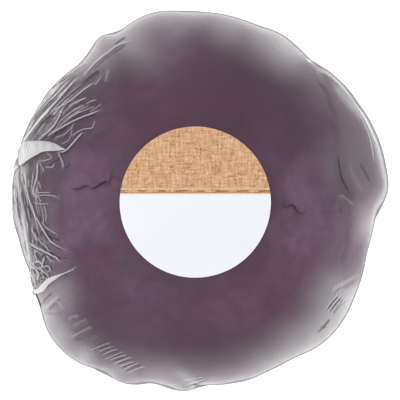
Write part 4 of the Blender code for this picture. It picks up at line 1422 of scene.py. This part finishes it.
class Wrap:
    """The film's surface with its folds, for the film itself and for what lies on it."""

    def __init__(self, pleats):
        self.pleats = pleats
        self.folds = drawn_folds()

    def folds_at(self, way):
        """How high the folds stand here in metres, and how much painted highlight along a crest and
        painted shade in furrows and on lee sides there is, 0 to 1. Below the rim they run straight
        down and fade."""
        azimuth, polar = angles_of(way)
        upper = polar < FOLDS_HELD + FOLDS_FADE
        fade = smooth_step(1.0 - (polar[upper] - FOLDS_HELD) / FOLDS_FADE)
        spots = seen_at(ways(azimuth[upper], np.minimum(polar[upper], FOLDS_HELD)))
        crest, sunk, lee = self.marks_at(spots)
        high, white, dark = np.zeros((3, len(way)))
        high[upper] = (CREST_HEIGHT * crest - FURROW_DEPTH * np.clip(sunk, 0.0, 1.0)) * fade
        white[upper] = np.clip(crest, 0.0, 1.0) * fade
        dark[upper] = np.clip(np.maximum(sunk, lee - 0.5 * crest), 0.0, 1.0) * fade
        return high, white, dark

    def marks_at(self, spots):
        """How strong the crests with their painted highlight, the furrows with their painted shade,
        and the painted shadows on the crests' lee sides are here.
        """
        crest, sunk, lee = np.zeros((3, len(spots)))
        for half_width, height, route in self.folds:
            low, high = route.min(0) - FOLD_REACH, route.max(0) + FOLD_REACH
            near = ((spots > low) & (spots < high)).all(-1)
            if not near.any():
                continue
            away, aside, ends = near_route(route[:: max(1, len(route) // FOLD_POINTS)], spots[near])
            if height < 0.0:
                shape = -height * bell(away, FURROW_WIDTH * half_width) * ends
                sunk[near] = np.maximum(sunk[near], shape)
                continue
            slim = max(CREST_LEAST, CREST_WIDTH * half_width)
            crest[near] = np.maximum(crest[near], height * bell(away, slim) * ends)
            shade = LEE_SHARE * height * bell(aside - LEE_ASIDE * slim, LEE_WIDTH * slim)
            lee[near] = np.maximum(lee[near], shade * ends)
        for hole in NET_HOLES:
            self.open_hole(spots, crest, sunk, *hole)
        return crest, sunk, lee

    def open_hole(self, spots, crest, sunk, middle, long, broad, degrees):
        """Sinks a hole with painted shade in it, and raises the strand round it with a painted
        highlight.
        """
        offset = spots - middle
        near = np.abs(offset).max(-1) < 3.0
        turn = math.radians(degrees)
        along = offset[near] @ (math.cos(turn), math.sin(turn)) / long
        across = offset[near] @ (-math.sin(turn), math.cos(turn)) / broad
        reach = np.hypot(along, across)
        strand = 0.4 * bell(reach - 1.45, 0.30)
        hole = smooth_step((1.20 - reach) / 0.3)
        crest[near] = np.maximum(crest[near] * (1.0 - hole), strand)
        sunk[near] = np.maximum(sunk[near], hole)

    def pleat_at(self, way):
        """How high the gathers round the mouth stand here, in metres."""
        azimuth, polar = angles_of(way)
        drawn = smooth_step((polar - PLEATS_FROM) / (FILM_MOUTH - PLEATS_FROM))
        wander = 0.35 * np.sin(3.0 * azimuth + 2.0 * polar) + 0.2 * np.sin(7.0 * azimuth + 1.0)
        crest = np.sin(self.pleats * azimuth / 2.0 + 4.0 * wander)
        fine = np.sin(self.pleats * 1.5 * azimuth - 5.0 * wander + 3.0 * polar)
        sharp = (1.0 - np.abs(crest)) ** 1.5 + 0.35 * (1.0 - np.abs(fine))
        return (1.3 * MM * sharp - 0.3 * MM) * drawn


class CABBAGE_OT_film(Operator):
    """Make the clear film with its folds, and the flaps where it is tucked"""

    bl_idname = "cabbage.film"
    bl_label = "Film"

    def execute(self, context):
        settings = context.scene.cabbage_film
        wrap = Wrap(settings.pleats)
        clear = film_finish("clear_film", settings, settings.haze, settings.white)
        doubled = film_finish("doubled_film", settings, settings.doubling, settings.doubled)
        for name, stretches in FILM_SHEETS.items():
            dress(self.make_sheet(name, stretches, wrap, clear), "film", "film")
        dress(self.make_tucks(wrap, doubled), "film")
        return {"FINISHED"}

    def levels(self):
        """The polar angles of the film's rows, closest where the folds are seen from above."""
        rows = list(CROWN_ROWS)
        while rows[-1] < ROWS_OPEN_FROM:
            here = math.cos(math.radians(rows[-1]))
            rows.append(rows[-1] + min(ROW_MOST, ROW_SEEN / max(here, 0.01)))
        mouth = math.degrees(FILM_MOUTH)
        return np.append(rows, np.linspace(ROWS_OPEN_FROM + 1.0, mouth, UNDERSIDE_ROWS))

    def make_sheet(self, name, stretches, wrap, finish):
        """One sheet from the crown to the mouth, with what its finish needs to know."""
        azimuth = np.radians(np.concatenate([np.linspace(*stretch) for stretch in stretches]))
        polar = np.radians(self.levels())
        way = ways(azimuth[None, :], polar[:, None]).reshape(-1, 3)
        way = np.vstack(((0.0, 0.0, 1.0), way))
        high, white, dark = wrap.folds_at(way)
        points = place(way, film_radius(way) + high + wrap.pleat_at(way))
        first = np.arange(1, len(azimuth))
        faces = np.stack((np.zeros_like(first), first, first + 1), -1).tolist()
        faces += grid_faces(len(polar), len(azimuth), 1)
        # Painted highlight along crests, and painted shade in furrows and on lee sides
        marks = {"fold": white, "furrow": dark}
        # Milk is partly painted reflection of the lamps
        marks["milk_and_reflection"] = patches_at(way, MILK_AND_REFLECTION_PATCHES) * risen(way, -0.28, 0.04)
        marks["cling"] = stretches_at(way, CLINGING)
        marks["loose"] = stretches_at(way, LOOSE_RIM) * risen(way, -0.6, 0.4)
        return new_piece(name, points, faces, finish, marks)

    def make_tucks(self, wrap, finish):
        """Each tuck is a puffed flap with fine pleats across it, between two edges."""
        along = np.linspace(0.0, 1.0, TUCK_ROWS)[:, None]
        across = np.linspace(0.0, 1.0, TUCK_COLUMNS)[None, :]
        points, faces, white, dark = [], [], [], []
        for bulge, pleated, *edges in TUCKS:
            upper, lower = (self.even_points(edge) for edge in edges)
            turn = self.pleat_turn(along, across, upper)
            uneven = 0.55 + 0.45 * np.sin(2.3 * turn / math.pi + 4.0 * across)
            pleat = pleated * uneven * np.sin(turn) * (1.0 - 0.75 * across)
            frayed = upper + (upper - lower) * 0.05 * np.sin(turn[:, :1])
            share = across[..., None]
            spots = frayed[:, None] * (1.0 - share) + lower[:, None] * share
            puff = np.sqrt(np.clip(4.0 * across * (1.0 - across), 0.0, 1.0))
            high = bulge * puff * smooth_step((1.02 - along) / 0.3) + 0.16 * pleat
            way, high, pleat = self.with_tail(way_seen_at(spots.reshape(-1, 2)), high, pleat)
            base = film_radius(way) + wrap.folds_at(way)[0] + TUCK_GAP
            start = sum(len(grid) for grid in points)
            points.append(place(way, base + high.ravel() * MM))
            faces += grid_faces(TUCK_ROWS + TUCK_TAIL_ROWS, TUCK_COLUMNS, start)
            # Painted highlight on the pleats' crests and along the lower edge, and painted shade in
            # the pleats' valleys
            white.append((0.25 * np.clip(pleat, 0.0, 1.0) + 0.2 * (across > 0.9)).ravel())
            dark.append((0.30 * np.clip(-pleat - 0.1, 0.0, 1.0)).ravel())
        marks = {"fold": np.concatenate(white), "furrow": np.concatenate(dark)}
        return new_piece("film_tucks", np.vstack(points), faces, finish, marks)

    def even_points(self, edge):
        """As many even points along a tuck's edge as it has rows."""
        route = smooth_route(edge, 0.3)
        at, wanted = np.linspace(0.0, 1.0, len(route)), np.linspace(0.0, 1.0, TUCK_ROWS)
        return np.stack([np.interp(wanted, at, route[:, k]) for k in (0, 1)], -1)

    def pleat_turn(self, along, across, upper):
        """How far round their wave the pleats are. They sway, and swirl in towards the rim."""
        length = np.linalg.norm(np.diff(upper, axis=0), axis=-1).sum()
        sway = 0.6 * np.sin(9.0 * along + 3.0 * across)
        swirl = 3.0 * across * smooth_step((0.45 - along) / 0.3)
        return 2.0 * math.pi * along * length / PLEAT_STEP + 3.0 * sway + 2.0 * swirl

    def with_tail(self, way, high, pleat):
        """Lengthens a tuck by a tail below the widest ring, which narrows to a point."""
        tail = np.linspace(0.0, 1.0, TUCK_TAIL_ROWS, endpoint=False)[:, None]
        azimuth, polar = angles_of(way[:TUCK_COLUMNS])
        narrow = (azimuth - azimuth.mean()) * tail**0.6 + azimuth.mean()
        lower = ways(narrow, polar + TUCK_TAIL * (1.0 - tail)).reshape(-1, 3)
        high = np.vstack((high[:1] * tail, high))
        return np.vstack((lower, way)), high, np.vstack((pleat[:1] * tail, pleat))


class CABBAGE_OT_label(Operator):
    """Make the round paper label on the crown"""

    bl_idname = "cabbage.label"
    bl_label = "Label"

    def execute(self, context):
        settings = context.scene.cabbage_label
        radius = (LABEL_HIGH.x - LABEL_LOW.x) / 2.0
        turn = np.arange(LABEL_SPOKES) * 2.0 * math.pi / LABEL_SPOKES
        shares = np.arange(1, LABEL_RINGS + 1) / LABEL_RINGS
        across = np.append(0.0, np.repeat(shares, LABEL_SPOKES)) * radius
        azimuth = np.append(0.0, np.tile(turn, LABEL_RINGS))
        points = np.vstack([
            self.over_film(across, azimuth, lift)
            for lift in (LABEL_GAP + settings.thickness, LABEL_GAP)
        ])
        faces = sheet_faces(LABEL_RINGS, LABEL_SPOKES)
        piece = new_piece("paper_label", points, faces, label_finish(settings))
        piece.data.set_sharp_from_angle(angle=math.radians(50.0))
        dress(piece, "label", "label")
        return {"FINISHED"}

    def over_film(self, across, azimuth, lift):
        """The points over the film at this distance from the axis, closed in on step by step."""
        polar = np.zeros_like(across)
        for _ in range(8):
            polar = np.arcsin(across / (film_radius(ways(azimuth, polar)) + lift))
        way = ways(azimuth, polar)
        return place(way, film_radius(way) + lift)


class CABBAGE_OT_stage(Operator):
    """Make the pale floor, the soft light and the camera above the crown"""

    bl_idname = "cabbage.stage"
    bl_label = "Stage"

    def execute(self, context):
        settings = context.scene.cabbage_stage
        context.scene.view_settings.view_transform = "Standard"
        self.make_floor(settings)
        self.make_sky(settings)
        for panel in PANELS:
            self.make_panel(*panel, settings)
        self.make_camera()
        return {"FINISHED"}

    def make_floor(self, settings):
        """A plain floor, lit from behind as a light table is."""
        half = FLOOR_HALF
        corners = [(-half, -half, 0.0), (half, -half, 0.0), (half, half, 0.0), (-half, half, 0.0)]
        finish = Finish("pale_floor")
        surface = finish.surface(
            Base_Color=settings.floor,
            Roughness=0.9,
            Specular_IOR_Level=0.1,
            Emission_Color=WHITE,
            Emission_Strength=settings.floor_glow,
        )
        new_piece("floor", corners, [(0, 1, 2, 3)], finish.done(surface))

    def make_sky(self, settings):
        """Even white light from all round."""
        world = bpy.data.worlds.new("white_room")
        world.use_nodes = True
        light = world.node_tree.nodes["Background"]
        light.inputs["Color"].default_value = WHITE
        light.inputs["Strength"].default_value = settings.sky
        bpy.context.scene.world = world

    def make_panel(self, name, spot, size, settings):
        """A large soft lamp, turned to the head's foot."""
        lamp = bpy.data.lights.new(name, "AREA")
        lamp.shape = "RECTANGLE"
        lamp.size, lamp.size_y = size
        lamp.energy = settings.panel_power
        made = bpy.data.objects.new(name, lamp)
        made.location = spot
        made.rotation_euler = (-made.location).to_track_quat("-Z", "Y").to_euler()
        bpy.context.scene.collection.objects.link(made)

    def make_camera(self):
        """A camera that looks straight down on the crown."""
        lens = bpy.data.cameras.new("camera")
        lens.sensor_width = SENSOR
        lens.lens = SENSOR * CAMERA_RISE / PICTURE_WIDTH
        lens.clip_end = 20.0
        made = bpy.data.objects.new("camera", lens)
        made.location = (*CAMERA_ASIDE, MIDDLE_HEIGHT + CAMERA_RISE)
        bpy.context.scene.collection.objects.link(made)
        bpy.context.scene.camera = made


OPERATORS = (
    CABBAGE_OT_leaves,
    CABBAGE_OT_inner_head,
    CABBAGE_OT_stalk,
    CABBAGE_OT_film,
    CABBAGE_OT_label,
    CABBAGE_OT_stage,
)


class CABBAGE_PT_panel(Panel):
    """Lists the head's pieces and their settings"""

    bl_label = "Cabbage head"
    bl_space_type = "VIEW_3D"
    bl_region_type = "UI"
    bl_category = "Cabbage"

    def draw(self, context):
        for operator in OPERATORS:
            self.layout.operator(operator.bl_idname)
        for key, settings in SETTINGS.items():
            box = self.layout.box()
            for prop in settings.__annotations__:
                box.prop(getattr(context.scene, key), prop)


def register():
    """Makes the settings, the operators and the panel known."""
    for settings in SETTINGS.values():
        bpy.utils.register_class(settings)
    for operator in OPERATORS:
        bpy.utils.register_class(operator)
    bpy.utils.register_class(CABBAGE_PT_panel)
    for key, settings in SETTINGS.items():
        setattr(bpy.types.Scene, key, PointerProperty(type=settings))


def unregister():
    """Takes back what register made known."""
    for key in SETTINGS:
        delattr(bpy.types.Scene, key)
    bpy.utils.unregister_class(CABBAGE_PT_panel)
    for operator in reversed(OPERATORS):
        bpy.utils.unregister_class(operator)
    for settings in reversed(SETTINGS.values()):
        bpy.utils.unregister_class(settings)


def main():
    """Makes every piece and the stage."""
    register()
    bpy.ops.cabbage.leaves()
    bpy.ops.cabbage.inner_head()
    bpy.ops.cabbage.stalk()
    bpy.ops.cabbage.film()
    bpy.ops.cabbage.label()
    bpy.ops.cabbage.stage()


if __name__ == "__main__":
    main()
